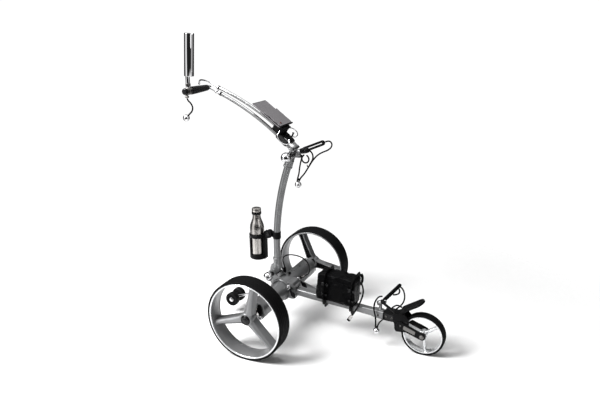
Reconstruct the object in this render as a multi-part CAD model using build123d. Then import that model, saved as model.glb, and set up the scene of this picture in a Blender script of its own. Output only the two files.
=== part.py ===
"""Electric golf trolley: three wheels, folding frame, battery bag, bottle and umbrella holder.

Working frame: millimetres, X forward, Y to the left, Z up, with the ground at Z = 0 and the
rear axle at X = 0.  The last step moves everything so that the origin is the middle of the
footprint, on the ground.
"""
from build123d import *
import math
import os

# ---- driving dimensions -------------------------------------------------------------------
WHEEL_R = 160.0            # rear tyre radius
TRACK = 592.0              # between the rear wheels' middle planes
TYRE_W = 69.6              # rear tyre width
WHEELBASE = 597.6          # rear axle to front axle
FRONT_R = 83.6             # front tyre radius
FRONT_W = 34.4             # front tyre width
AXLE_Z = WHEEL_R
HOUSING_R = 40.0           # outside of the axle housing
HOUSING_END = 238.0        # half length of the axle housing
PIN_R = 8.0                # rear wheel pin
GAP = 0.3                  # clearance between bodies
FIT = 0.1                  # radial clearance of pins and sleeves

BEAM_SIZE = 28.0           # square main beam
BEAM_WALL = 2.5
BEAM_SLOPE = 3.53          # degrees, falling towards the front
BEAM_END = 400.0

FOLD = (-42.0, 224.0)      # lower fold axis (x, z)
UPRIGHT_X = -29.0
UPRIGHT_R = 14.0
UPRIGHT_FOOT_Z = 238.0
UPRIGHT_BEND_Z = 345.0     # where the straight part ends
UPRIGHT_BEND_R = 1030.0
UPRIGHT_BEND = 20.6        # degrees
ELBOW = (45.0, 731.0)      # handle fold axis (x, z)

HANDLE_TUBE_R = 6.5
HANDLE_TUBE_Y = 26.0
HANDLE_ARC = (-632.0, 28.0, 1005.0)   # centre x, z and radius of the handle tubes' curve
GRIP_X, GRIP_Z = -302.0, 981.0

CARD_LOW = (22.0, 845.0)   # lower edge of the score card plate (x, z)
CARD_SLOPE = 36.2
CARD_LENGTH = 144.0
CARD_WIDTH = 105.0

BAG_U = (160.0, 326.0)     # bag along the beam
BAG_W = 80.0
BAG_H = 112.0

KNOB_R = 20.0
BALL_R = 13.0
SHOCK_CORD = 6.0           # diameter of the elastic cords
CONTROL_CORD = 5.5
LEAD_CORD = 7.0

RATCHET = (-64.0, 389.0)   # bottle holder pivot (x, z)
BASKET_X = -118.0
BOTTLE_X = -122.0
BASKET_Z = 276.0

LOW_CRADLE = Vector(429.3, 0, 181.3)
HIGH_CRADLE = Vector(86.2, 0, 750.7)


# ---- helpers ------------------------------------------------------------------------------
def cyl_y(x, z, y0, y1, r):
    """Cylinder along Y."""
    return Pos(x, (y0 + y1) / 2, z) * Rot(90, 0, 0) * Cylinder(r, abs(y1 - y0))


def cyl_z(x, y, z0, z1, r):
    """Cylinder along Z."""
    return Pos(x, y, (z0 + z1) / 2) * Cylinder(r, z1 - z0)


def block(x0, x1, y0, y1, z0, z1, edge=0.0):
    """Box between corners, with all its edges rounded by edge."""
    solid = Pos((x0 + x1) / 2, (y0 + y1) / 2, (z0 + z1) / 2) * Box(x1 - x0, y1 - y0, z1 - z0)
    return fillet(solid.edges(), edge) if edge else solid


def rod(start, end, r):
    """Cylinder between two points."""
    start, end = Vector(start), Vector(end)
    return Plane(origin=(start + end) * 0.5, z_dir=end - start) * Cylinder(r, (end - start).length)


def group(*parts):
    """One node made of several solids that don't touch."""
    return Compound([solid for part in parts for solid in part.solids()])


def side_plate(outline, y0, y1):
    """Prism across Y of a closed outline given as (x, z) points."""
    face = make_face(Plane.XZ * Polyline(*outline, close=True))
    return Pos(0, y1, 0) * extrude(face, y1 - y0, dir=(0, -1, 0))


def link_plate(a, b, r, y0, y1):
    """Round-ended link between two (x, z) points, across Y."""
    dx, dz = b[0] - a[0], b[1] - a[1]
    length = math.hypot(dx, dz)
    slot = SlotCenterToCenter(length, 2 * r)
    turn = math.degrees(math.atan2(dz, dx))
    face = Plane.XZ * (Pos((a[0] + b[0]) / 2, (a[1] + b[1]) / 2) * Rot(0, 0, turn) * slot)
    return Pos(0, y1, 0) * extrude(face, y1 - y0, dir=(0, -1, 0))


def turned(profile):
    """Solid of revolution about Z from (radius, height) points."""
    return revolve(make_face(Plane.XZ * Polyline(*profile, close=True)), Axis.Z)


def cord_tube(name, points, diameter):
    """Tube along straight runs joined by tangent arcs, each as large as its runs allow."""
    points = [Vector(*p) for p in points]
    runs = [(b - a).length for a, b in zip(points, points[1:])]
    radii = []
    for i in range(1, len(points) - 1):
        turn = (points[i] - points[i - 1]).get_angle(points[i + 1] - points[i])
        radii.append(0.45 * min(runs[i - 1], runs[i]) / math.tan(math.radians(turn / 2)))
    path = FilletPolyline(*points, radius=radii)
    tube = sweep(Plane(path ^ 0) * Circle(diameter / 2), path=path)
    ratio = tube.volume / (math.pi * diameter**2 / 4 * path.length)
    print(f"{name}: length {path.length:.1f}, volume ratio {ratio:.4f},",
          "radii", [round(r, 1) for r in radii])
    return tube


# the beam's own frame: x along the beam, z square to it
BEAM_PLANE = Plane(
    origin=(0, 0, 157),
    x_dir=(math.cos(math.radians(BEAM_SLOPE)), 0, -math.sin(math.radians(BEAM_SLOPE))),
    z_dir=(math.sin(math.radians(BEAM_SLOPE)), 0, math.cos(math.radians(BEAM_SLOPE))),
)


def beam_bar(u0, u1, width, height, edge=0.0, y=0.0, h=0.0):
    """Bar with rounded long edges in the beam's frame."""
    bar = Box(u1 - u0, width, height)
    if edge:
        bar = fillet(bar.edges().filter_by(Axis.X), edge)
    return BEAM_PLANE * (Pos((u0 + u1) / 2, y, h) * bar)


# ---- wheels -------------------------------------------------------------------------------
def wheel_plane(side, x=0.0, y=TRACK / 2, z=AXLE_Z):
    """Frame of a wheel: local z points outward, away from the trolley."""
    return Plane(origin=(x, side * y, z), x_dir=(1, 0, 0), z_dir=(0, side, 0))


def tyre(radius, seat, width):
    """Solid tyre with rounded shoulders."""
    half = width / 2
    shoulder = 0.45 * (radius - seat)
    return turned([
        (seat, -half + 1.5), (radius - shoulder, -half), (radius - 0.8, -half + 2),
        (radius, -half + 7), (radius, half - 7), (radius - 0.8, half - 2),
        (radius - shoulder, half), (seat, half - 1.5),
    ])


def rim(seat, width, wall, hub_r, hub_z, bore, angles, spoke_w, spoke_z, channel):
    """Barrel with two beads, a hub and tapered spokes; channelled spokes are hollow inside."""
    half = width / 2
    inner = seat - wall
    barrel = turned([
        (inner, -half + 5), (inner - 2, -half + 3), (inner - 2, -half), (seat, -half),
        (seat, half), (inner - 2, half), (inner - 2, half - 3), (inner, half - 5),
    ])
    wheel = barrel + Pos(0, 0, (hub_z[0] + hub_z[1]) / 2) * Cylinder(hub_r, hub_z[1] - hub_z[0])
    root, tip = hub_r * 0.7, inner + wall * 0.6
    for angle in angles:
        outline = Polyline((root, -spoke_w[0]), (tip, -spoke_w[1]), (tip, spoke_w[1]),
                           (root, spoke_w[0]), close=True)
        spoke = Pos(0, 0, spoke_z[0]) * extrude(make_face(outline), spoke_z[1] - spoke_z[0])
        crown = [e for e in spoke.faces().sort_by(Axis.Z)[-1].edges() if e.length > 2.5 * hub_r]
        spoke = fillet(crown, spoke_w[1] * 0.6)
        if channel:
            skin = 3.0
            hollow = Polyline((hub_r + 2, -spoke_w[0] + skin), (tip - 8, -spoke_w[1] + skin),
                              (tip - 8, spoke_w[1] - skin), (hub_r + 2, spoke_w[0] - skin),
                              close=True)
            depth = spoke_z[1] - 8 - spoke_z[0]
            spoke -= Pos(0, 0, spoke_z[0]) * extrude(make_face(hollow), depth)
        wheel += Rot(0, 0, angle) * spoke
    return wheel - Cylinder(bore, 4 * width)


def rear_wheel(side, world_angles):
    """Rim, tyre and hub pin with its cap for one rear wheel."""
    place = wheel_plane(side)
    angles = [-side * a for a in world_angles]
    seat = WHEEL_R - 9.0
    rim_solid = rim(seat, 68.0, 3.5, 25.0, (-26.0, 18.0), PIN_R + FIT / 2,
                    angles, (15.0, 9.5), (-22.0, 18.0), True)
    pin = Pos(0, 0, -36.5) * Cylinder(PIN_R, 105.0)
    cap = turned([(0, 18.2), (20, 18.2), (20, 21.5), (17, 23.8), (10, 24.8), (0, 25)])
    return {
        "rear_rim": place * rim_solid,
        "rear_tyre": place * tyre(WHEEL_R, seat + 0.2, TYRE_W),
        "hub_axle": group(place * pin, place * cap),
    }


def front_wheel():
    """Rim and tyre of the small front wheel."""
    place = wheel_plane(-1, WHEELBASE, 0.0, FRONT_R)
    seat = 75.0
    rim_solid = rim(seat, 32.0, 3.0, 15.0, (-15.0, 15.0), 11.05,
                    (38, -82, 158), (6.5, 4.0), (-7.0, 7.0), False)
    return place * rim_solid, place * tyre(FRONT_R, seat + 0.2, FRONT_W)


# ---- axle, drive and chassis ----------------------------------------------------------------
def ring_y(x, z, y0, y1, outer, inner):
    """Ring along Y."""
    return cyl_y(x, z, y0, y1, outer) - cyl_y(x, z, y0 - 1, y1 + 1, inner)


def axle_housing():
    """Round housing tube, closed by an end cap with a bearing seat at each end."""
    tube = ring_y(0, AXLE_Z, -HOUSING_END + 12, HOUSING_END - 12, HOUSING_R, HOUSING_R - 3.5)
    pieces = [tube]
    for side in (-1, 1):
        inner, outer = sorted((side * (HOUSING_END - 11.8), side * HOUSING_END))
        cap = cyl_y(0, AXLE_Z, inner, outer, HOUSING_R)
        cap = fillet(cap.edges().sort_by(Axis.Y)[-1 if side > 0 else 0], 4)
        pieces.append(cap - cyl_y(0, AXLE_Z, -300, 300, 16.05))
    return group(*pieces)


def wheel_bearings():
    """Rear bearings in the end caps and front bearings in the front hub."""
    rear = [ring_y(0, AXLE_Z, *sorted((s * 227, s * 237.5)), 16.0, PIN_R + 0.05) for s in (-1, 1)]
    front = [ring_y(WHEELBASE, FRONT_R, *sorted((s * 8, s * 14.8)), 11.0, 6.05) for s in (-1, 1)]
    return group(*rear, *front)


def drive_units():
    """Two gear motors inside the housing; the wheel pins enter their output bores."""
    units = []
    for side in (-1, 1):
        motor = cyl_y(0, AXLE_Z, *sorted((side * 66, side * 161)), 31)
        gearbox = cyl_y(0, AXLE_Z, *sorted((side * 160, side * 222)), 35.5)
        bore = cyl_y(0, AXLE_Z, *sorted((side * 204, side * 225)), PIN_R + 0.2)
        units.append(motor + gearbox - bore)
    return group(*units)


def centre_bracket():
    """Saddle round the housing, socket for the beam and two cheeks for the folding upright."""
    saddle = cyl_y(0, AXLE_Z, -36, 36, HOUSING_R + 7)
    front = fillet(block(22, 62, -30, 30, 128, 198).edges().filter_by(Axis.Y), 7)
    body = saddle + front
    for side in (-1, 1):
        y0, y1 = sorted((side * 20, side * 27))
        cheek = side_plate([(FOLD[0] - 17, FOLD[1]), (FOLD[0] + 17, FOLD[1]), (12, 203),
                            (14, 180), (-30, 172), (-52, 190)], y0, y1)
        body += cheek + cyl_y(*FOLD, y0, y1, 17)
    boss = rod((-30, 0, 143.9), (-62, 0, 132.1), 12)
    body += boss
    body -= cyl_y(0, AXLE_Z, -60, 60, HOUSING_R + FIT)
    body -= beam_bar(41, 80, BEAM_SIZE + 2 * FIT, BEAM_SIZE + 2 * FIT, 6)
    body -= cyl_y(*FOLD, -60, 0, 5.1)
    body += cyl_y(*FOLD, -19.6, 26, 4.7)
    body -= cyl_y(43, 185, -60, 60, 5.1)
    body -= rod((-30, 0, 143.9), (-90, 0, 121.7), 5.6)
    return body


def anti_tip_rod():
    """Rear stay with a cross axle and two retaining discs for the anti-tip wheels."""
    start, end = Vector(-42, 0, 139.5), Vector(-243, 0, 65)
    stay = rod(start, end, 5.5) + cyl_y(end.X, end.Z, -13.5, 13.5, 9)
    stay += cyl_y(end.X, end.Z, -39, 39, 4)
    for side in (-1, 1):
        stay += cyl_y(end.X, end.Z, *sorted((side * 38.5, side * 41.5)), 7.5)
    return stay


def anti_tip_wheel(side):
    """Small solid wheel with a recessed face."""
    y0, y1 = sorted((side * 14, side * 38))
    wheel = fillet(cyl_y(-243, 65, y0, y1, 30).edges(), 4)
    wheel -= ring_y(-243, 65, y0 - 1, y0 + 4, 20, 11)
    wheel -= ring_y(-243, 65, y1 - 4, y1 + 1, 20, 11)
    return wheel - cyl_y(-243, 65, -60, 60, 4.1)


def main_beam():
    """Square tube from the centre bracket to the front sleeve."""
    outer = beam_bar(41.5, BEAM_END, BEAM_SIZE, BEAM_SIZE, 6)
    inner = BEAM_SIZE - 2 * BEAM_WALL
    return outer - beam_bar(20, BEAM_END + 5, inner, inner, 3.6)


def front_beam():
    """Sleeve that plugs into the beam's end and carries the front bracket."""
    plug = BEAM_SIZE - 2 * BEAM_WALL - 2 * FIT
    sleeve = beam_bar(BEAM_END + 0.2, 440, 33, 33, 7)
    sleeve += beam_bar(BEAM_END - 50, BEAM_END + 1, plug, plug, 3.5)
    return sleeve + beam_bar(439, 482, 23, 23, 3)


def support_post():
    """Post on the sleeve with the swivel boss of the lower bag cradle."""
    axis = cradle_axis(26.0)
    post = cyl_z(424, 0, 149.5, 176, 6)
    boss = rod(LOW_CRADLE - axis * 19, LOW_CRADLE - axis * 1, 9)
    flange = beam_bar(410, 438, 20, 3, 0, 0, 18.3)
    post = post + boss + flange
    post -= rod(LOW_CRADLE - axis * 30, LOW_CRADLE + axis * 5, 3.1)
    return post - beam_bar(390, 450, 60, 33.4)


def front_bracket():
    """Clamp and wheel bracket: takes the sleeve's stub, the fork arms and the bag foot."""
    body = side_plate([
        (441, 118), (441, 149), (449, 153.5), (490, 151), (503, 157), (520, 161), (533, 153),
        (545, 138), (545, 98), (536, 86), (496, 80), (489, 90), (487, 118),
    ], -24, 24)
    body = fillet(body.edges().filter_by(Axis.Y), 2.5)
    body -= beam_bar(430, 484, 23.4, 23.4, 3)
    body -= cyl_y(WHEELBASE, FRONT_R, -19.5, 19.5, FRONT_R + 4)
    return body


def fork():
    """Two side arms from the front bracket to the front axle."""
    arms = []
    for side in (-1, 1):
        y0, y1 = sorted((side * 24.2, side * 29.4))
        arm = link_plate((514, 112), (WHEELBASE, FRONT_R), 15.0, y0, y1)
        arms.append(arm - cyl_y(WHEELBASE, FRONT_R, -40, 40, 6.1))
    return group(*arms)


def front_axle():
    """Front axle bolt with spacers and domed nuts."""
    axle = cyl_y(WHEELBASE, FRONT_R, -33, 33, 6)
    for side in (-1, 1):
        axle += cyl_y(WHEELBASE, FRONT_R, *sorted((side * 15.4, side * 24.0)), 9)
        axle += fillet(cyl_y(WHEELBASE, FRONT_R, *sorted((side * 29.6, side * 35)), 9).edges(), 1.5)
    return axle


def bag_foot():
    """Sloping foot plate under the golf bag, with a raised front lip."""
    place = Plane(origin=(511, 0, 161), x_dir=(math.cos(math.radians(33.5)), 0,
                                               math.sin(math.radians(33.5))),
                  z_dir=(-math.sin(math.radians(33.5)), 0, math.cos(math.radians(33.5))))
    plate = Pos(47, 0, 3) * Box(110, 58, 10)
    plate = fillet(plate.edges().filter_by(Axis.Z).sort_by(Axis.X)[-2:], 25)
    plate = fillet(plate.faces().sort_by(Axis.Z)[-1].edges(), 2.5)
    foot = place * plate
    return foot - side_plate([(480, 130), (480, 151.5), (490, 151.2), (503, 157.2),
                              (520, 161.2), (533, 153.2), (548, 130)], -35, 35)


def chassis_screws():
    """Button-head screws of the front bracket, the fork, the sleeve and the centre bracket."""
    heads = [(455, 136, 24.2), (478, 135, 24.2), (514, 112, 29.6), (420, 131, 16.7),
             (30, 170, 30.2)]
    screws = []
    for x, z, face in heads:
        for side in (-1, 1):
            screws.append(cyl_y(x, z, *sorted((side * face, side * (face + 2.6))), 4.0))
    return group(*screws)


def clamp_lever(pivot, y0, y1, angle, length):
    """Thumb lever with an eye at the pivot and a drop-shaped pad."""
    x, z = pivot
    dx, dz = math.cos(math.radians(angle)), math.sin(math.radians(angle))
    eye = cyl_y(x, z, y0, y1, 9)
    neck = link_plate(pivot, (x + 24 * dx, z + 24 * dz), 3.5, y0 + 1, y1 - 1)
    nx, nz = -dz, dx
    pad = side_plate([
        (x + 18 * dx, z + 18 * dz),
        (x + 26 * dx + 7 * nx, z + 26 * dz + 7 * nz),
        (x + 38 * dx + 9 * nx, z + 38 * dz + 9 * nz),
        (x + length * dx, z + length * dz),
        (x + 38 * dx - 9 * nx, z + 38 * dz - 9 * nz),
        (x + 26 * dx - 7 * nx, z + 26 * dz - 7 * nz),
    ], y0 + 0.5, y1 - 0.5)
    return eye + neck + pad


def clamp_levers():
    """Cam shaft through the centre bracket with a thumb lever on each end."""
    shaft = cyl_y(43, 185, -49, 49, 5)
    near = clamp_lever((43, 185), -49, -41, -54, 54)
    far = clamp_lever((43, 185), 41, 49, -38, 54)
    return shaft + near + far


def hub_lever(side):
    """Wheel release paddle beside the housing end, with a small ball on its tip."""
    y0, y1 = sorted((side * 240, side * 248))
    paddle = side_plate([(13, 192), (17, 197), (24, 196), (31, 180), (32, 168), (27, 150),
                         (20, 150), (11, 168), (9, 182)], y0, y1)
    paddle = fillet(paddle.edges().filter_by(Axis.Y), 1.5)
    ball = Pos(25, side * 248, 143) * Sphere(9)
    pin = cyl_y(19, 188, *sorted((side * (HOUSING_END + GAP), side * 242)), 4)
    return paddle + ball + pin


def cable_sockets():
    """Rubber boots: one on the far cheek, one on the bracket beside the lever shaft."""
    boot = cyl_z(-14, 34.5, 207.3, 232, 7)
    boot = fillet(boot.edges().sort_by(Axis.Z)[-1], 3)
    socket = cyl_z(10, 33.6, 207.2, 215, 6)
    return group(boot, socket)


def battery_bag():
    """Fabric bag as a thin open box with a separate flap lid."""
    u0, u1 = BAG_U
    low = BEAM_SIZE / 2 + GAP
    outer = beam_bar(u0, u1, BAG_W, BAG_H - 5, 9, 0, low + (BAG_H - 5) / 2)
    hollow = beam_bar(u0 + 3, u1 - 3, BAG_W - 6, BAG_H, 0, 0, low + 3 + BAG_H / 2)
    flap = Box(u1 - u0, BAG_W, 4.5)
    flap = fillet(flap.edges().filter_by(Axis.Z), 9)
    flap = fillet(flap.faces().sort_by(Axis.Z)[-1].edges(), 3)
    lid = BEAM_PLANE * (Pos((u0 + u1) / 2, 0, low + BAG_H - 2.25) * flap)
    return group(outer - hollow, lid)


def battery_pack():
    """Battery inside the bag."""
    u0, u1 = BAG_U
    return beam_bar(u0 + 7, u1 - 7, BAG_W - 16, 92, 4, 0, BEAM_SIZE / 2 + 5 + 46)


# ---- bag cradles ----------------------------------------------------------------------------
def cradle_axis(rise):
    """Unit vector of a cradle's swivel axis, rising forward by rise degrees."""
    return Vector(math.cos(math.radians(rise)), 0, math.sin(math.radians(rise)))


def cradle(origin, rise, roll, pad_height, pad_width):
    """V of two slotted rubber arms on a swivel hub."""
    place = Plane(origin=origin, x_dir=cradle_axis(rise), z_dir=(-math.sin(math.radians(rise)),
                                                                 0, math.cos(math.radians(rise))))
    hub = Pos(7.5, 0, 0) * Rot(0, 90, 0) * Cylinder(10, 15)
    pin = Pos(-7, 0, 0) * Rot(0, 90, 0) * Cylinder(3, 18)
    solid = hub + pin
    for side in (-1, 1):
        slot = SlotOverall(98, pad_height)
        arm = extrude(Plane.XZ * slot, pad_width / 2, both=True)
        arm = fillet(arm.edges(), min(3.0, pad_width / 2.6))
        arm -= extrude(Plane.XZ * SlotOverall(62, pad_height * 0.18), pad_width, both=True)
        solid += Rot(0, 0, side * 48) * (Pos(56, 0, 0) * arm)
    return place * (Rot(roll, 0, 0) * solid)


# ---- upright and its fittings -----------------------------------------------------------------
def upright_path(start_z=UPRIGHT_FOOT_Z, bend=UPRIGHT_BEND):
    """Centreline of the upright: straight, then a long forward bend."""
    straight = Line((UPRIGHT_X, start_z), (UPRIGHT_X, UPRIGHT_BEND_Z))
    curve = CenterArc((UPRIGHT_X + UPRIGHT_BEND_R, UPRIGHT_BEND_Z), UPRIGHT_BEND_R, 180, -bend)
    return Plane.XZ * Wire([straight, curve])


def upright_tube(radius=UPRIGHT_R, wall=1.6):
    """Curved round tube; with no wall it is the solid used to cut sleeves."""
    section = Circle(radius) if wall is None else Circle(radius) - Circle(radius - wall)
    start = Plane(origin=(UPRIGHT_X, 0, UPRIGHT_FOOT_Z), z_dir=(0, 0, 1))
    return sweep(start * section, path=upright_path())


def upright_top():
    """End point and direction of the upright's centreline."""
    angle = math.radians(UPRIGHT_BEND)
    x = UPRIGHT_X + UPRIGHT_BEND_R * (1 - math.cos(angle))
    z = UPRIGHT_BEND_Z + UPRIGHT_BEND_R * math.sin(angle)
    return Vector(x, 0, z), Vector(math.sin(angle), 0, math.cos(angle))


def upright_foot():
    """Folding lug and sleeve at the bottom of the upright."""
    lug = cyl_y(*FOLD, -19.7, 19.7, 17)
    web = block(-57, -16, -15.5, 15.5, 224, 262)
    web = fillet(web.edges().filter_by(Axis.Y).sort_by(Axis.Z)[-2:], 6)
    sleeve = cyl_z(UPRIGHT_X, 0, 243, 292, 17)
    foot = lug + web + sleeve
    foot -= cyl_z(UPRIGHT_X, 0, UPRIGHT_FOOT_Z - 0.2, 300, UPRIGHT_R + FIT)
    return foot - cyl_y(*FOLD, -60, 60, 5.1)


def elbow_bracket():
    """Head of the upright: handle hinge lug and the arm of the upper bag cradle."""
    top, along = upright_top()
    axis = cradle_axis(21.0)
    sleeve = rod(top - along * 28, top + along * 5, 17)
    lug = cyl_y(*ELBOW, -14, 14, 15)
    neck = link_plate((top.X, top.Z), ELBOW, 13, -13, 13)
    arm = block(55, 84, -6.5, 6.5, 723, 737, 3)
    boss = rod(HIGH_CRADLE - axis * 19, HIGH_CRADLE - axis * 1, 9)
    tie = side_plate([(66, 728), (84, 728), (84, 748), (68, 742)], -6, 6)
    head = sleeve + lug + neck + arm + tie + boss
    head -= upright_tube(UPRIGHT_R + FIT, None)
    head += cyl_y(*ELBOW, 0, 22, 3.6) + cyl_y(*ELBOW, 19.9, 24.2, 7.2)
    return head - rod(HIGH_CRADLE - axis * 30, HIGH_CRADLE + axis * 5, 3.1)


def bottle_clamp():
    """Clamp ring on the upright with the fixed half of the holder's ratchet."""
    ring = cyl_z(-28.3, 0, 374, 404, 16.6)
    arm = block(RATCHET[0], -40, 2, 12, 379, 399)
    disc = cyl_y(*RATCHET, 0.3, 12, 16.2)
    clamp = ring + arm + disc
    clamp -= upright_tube(UPRIGHT_R + FIT, None)
    return clamp - cyl_y(*RATCHET, -30, 30, 4.1)


def bottle_basket():
    """Open bottle cage: cup, curved back and front, top hoop, spine and ratchet arm."""
    x, z = BASKET_X, BASKET_Z

    def hoop(z0, z1, outer=37.0, inner=34.0):
        return cyl_z(x, 0, z0, z1, outer) - cyl_z(x, 0, z0 - 1, z1 + 1, inner)

    cup = cyl_z(x, 0, z, z + 20, 37) - cyl_z(x, 0, z + 4, z + 30, 34)
    back = hoop(z + 10, z + 108) & block(x + 33.2, x + 50, -40, 40, z, z + 120)
    front = hoop(z + 10, z + 100) & block(x - 50, x - 17, -40, 40, z, z + 120)
    top = hoop(z + 93, z + 107)
    spine = block(x + 34.5, x + 37.6, -14, 14, z, z + 124)
    arm = block(x + 35, RATCHET[0], -12, -2, 379, 399)
    disc = cyl_y(*RATCHET, -12, -0.3, 17.5) + cyl_y(*RATCHET, -15, 14, 4)
    return cup + back + front + top + spine + arm + disc


def bottle():
    """Steel flask with a shoulder and a neck ring."""
    z = BASKET_Z + 4.5
    flask = turned([
        (0, 0), (27, 0), (29, 2.5), (29.5, 6), (29.5, 128), (28.6, 137), (26, 146),
        (22, 156), (18.6, 166), (16.8, 176), (16.5, 186), (20, 186.2), (20, 198), (0, 198),
    ])
    return Pos(BOTTLE_X, 0, z) * flask


def bottle_cap():
    """Screw cap of the flask."""
    z = BASKET_Z + 4.5 + 198.3
    cap = turned([(0, 0), (19.2, 0), (19.2, 10.5), (18.2, 13.2), (15.5, 15), (0, 15.2)])
    return Pos(BOTTLE_X, 0, z) * cap


def ball_knob(x, z, y_centre, shaft_r, y_end, collar):
    """Ball knob on a threaded bolt with a spacer collar."""
    knob = Pos(x, y_centre, z) * Sphere(KNOB_R)
    bolt = cyl_y(x, z, y_centre, y_end, shaft_r)
    return knob + bolt + cyl_y(x, z, collar[0], collar[1], collar[2])


# ---- handle -----------------------------------------------------------------------------------
def handle_point(angle, lift=0.0):
    """Point (x, z) on the handle tubes' curve, raised square to it by lift."""
    cx, cz, radius = HANDLE_ARC
    a = math.radians(angle)
    return cx + (radius + lift) * math.cos(a), cz + (radius + lift) * math.sin(a)


def handle_tube(y, start, end, radius, wall=None):
    """Curved tube between two angles of the handle's curve."""
    cx, cz, bend = HANDLE_ARC
    path = Plane.XZ * CenterArc((cx, cz), bend, start, end - start)
    x, z = handle_point(start)
    a = math.radians(start)
    plane = Plane(origin=(x, 0, z), z_dir=(-math.sin(a), 0, math.cos(a)))
    section = Circle(radius) if wall is None else Circle(radius) - Circle(radius - wall)
    return Pos(0, y, 0) * sweep(plane * section, path=path)


def handle_frame():
    """Hinge cheeks, cross bar and the two curved tubes, welded together."""
    bar_x, bar_z = handle_point(46.7)
    turn = 46.7
    bar = Plane(origin=(bar_x, 0, bar_z), x_dir=(math.cos(math.radians(turn)), 0,
                                                 math.sin(math.radians(turn))),
                z_dir=(-math.sin(math.radians(turn)), 0, math.cos(math.radians(turn))))
    cross = bar * fillet(Box(10, 72, 13).edges(), 2)
    frame = cross
    for side in (-1, 1):
        y0, y1 = sorted((side * 14.3, side * 19.6))
        frame += link_plate(ELBOW, (bar_x, bar_z), 8, y0, y1) + cyl_y(*ELBOW, y0, y1, 12)
    frame += handle_tube(-HANDLE_TUBE_Y, 46.7, 67.4, HANDLE_TUBE_R)
    frame += handle_tube(HANDLE_TUBE_Y, 46.7, 70.0, HANDLE_TUBE_R)
    return frame - cyl_y(*ELBOW, -60, 60, 4.1)


def bent_rod(points, radius, bend):
    """Round rod along straight runs with equal bends."""
    path = FilletPolyline(*points, radius=bend)
    return sweep(Plane(path ^ 0) * Circle(radius), path=path)


def handle_rods():
    """Collars, bright rods, the grip's core and the wire stay over the grip."""
    near, far = handle_point(67.4), handle_point(70.0)
    near_p = Vector(near[0], -HANDLE_TUBE_Y, near[1])
    far_p = Vector(far[0], HANDLE_TUBE_Y, far[1])
    near_dir = Vector(math.cos(math.radians(157.4)), 0, math.sin(math.radians(157.4)))
    far_dir = Vector(math.cos(math.radians(160)), 0, math.sin(math.radians(160)))
    elbow = Vector(GRIP_X, -32, GRIP_Z)
    rods = rod(near_p + near_dir * 0.2, near_p + near_dir * 14, 8.5)
    rods += rod(near_p + near_dir * 10, near_p + near_dir * 24, 4)
    rods += rod(near_p + near_dir * 17, near_p + near_dir * 31, 8)
    rods += rod(near_p + near_dir * 24, elbow, 4)
    rods += cyl_y(GRIP_X, GRIP_Z, -23, -39.5, 8)
    rods += cyl_y(GRIP_X, GRIP_Z, -32, -180, 5)
    collar = rod(far_p + far_dir * 0.2, far_p + far_dir * 12, 8)
    start = far_p + far_dir * 8
    stay = bent_rod([start, (-340, 26, 994), (-348, -12, 1006), (-328, -60, 1010),
                     (-306, -88, 998.3)], 3, [18, 22, 22])
    return group(rods, collar + stay)


def grip():
    """Tapered foam grip with rounded ends."""
    solid = Pos(GRIP_X, -95, GRIP_Z) * Rot(90, 0, 0) * Cone(11.5, 15.5, 110)
    solid = fillet(solid.edges(), 3)
    return solid - cyl_y(GRIP_X, GRIP_Z, -20, -200, 5.1)


def umbrella_clamp():
    """Clamp hub between the umbrella holder's eye and the dial, with its thumb screw."""
    hub = fillet(cyl_y(GRIP_X, GRIP_Z, -172, -180, 13).edges(), 1.5)
    lug = block(GRIP_X - 5, GRIP_X + 5, -179, -173, GRIP_Z - 24, GRIP_Z - 8, 2)
    return hub + lug - cyl_y(GRIP_X, GRIP_Z, -160, -190, 5.1)


def speed_dial():
    """Rotary speed control on the end of the grip."""
    return fillet(cyl_y(GRIP_X, GRIP_Z, -180.4, -192, 13).edges(), 2)


UMBRELLA_LOW = Vector(-297.5, -161, 1036)
UMBRELLA_HIGH = Vector(-284.5, -161, 1191)
UMBRELLA_R = 18.5
UMBRELLA_BORE = 16.9


def umbrella_tube():
    """Umbrella socket on an offset shank with an eye round the grip's core."""
    low, high = UMBRELLA_LOW, UMBRELLA_HIGH
    along = (high - low).normalized()
    tube = rod(low, high, UMBRELLA_R) - rod(low + along * 4, high + along * 5, UMBRELLA_BORE)
    shift = Vector(-7.5, 0, 0)
    shank = rod(Vector(GRIP_X - 3, -161, GRIP_Z + 8), low + shift + along * 2, 8.5)
    eye = cyl_y(GRIP_X, GRIP_Z, -151.5, -171.5, 14)
    holder = tube + shank + eye
    return holder - cyl_y(GRIP_X, GRIP_Z, -140, -200, 5.15)


# the card plate's own frame: x up the slope towards the grip, z square to the plate
CARD_PLANE = Plane(
    origin=(CARD_LOW[0], 0, CARD_LOW[1]),
    x_dir=(-math.cos(math.radians(CARD_SLOPE)), 0, math.sin(math.radians(CARD_SLOPE))),
    z_dir=(math.sin(math.radians(CARD_SLOPE)), 0, math.cos(math.radians(CARD_SLOPE))),
)


def card_plate():
    """Score card plate with rounded corners."""
    plate = Pos(CARD_LENGTH / 2, 0, 0) * Box(CARD_LENGTH, CARD_WIDTH, 3)
    plate = fillet(plate.edges().filter_by(Axis.Z), 5)
    return CARD_PLANE * plate


def card_clip():
    """Curved spring leaf that holds the card, hinged at the plate's lower edge."""
    leaf = Pos(44, 4, 5.2) * Box(84, CARD_WIDTH - 6, 2)
    leaf = fillet(leaf.edges().filter_by(Axis.Z), 8)
    barrel = Pos(3, 0, 5.2) * Rot(90, 0, 0) * Cylinder(3, CARD_WIDTH - 20)
    return CARD_PLANE * (leaf + barrel)


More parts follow.
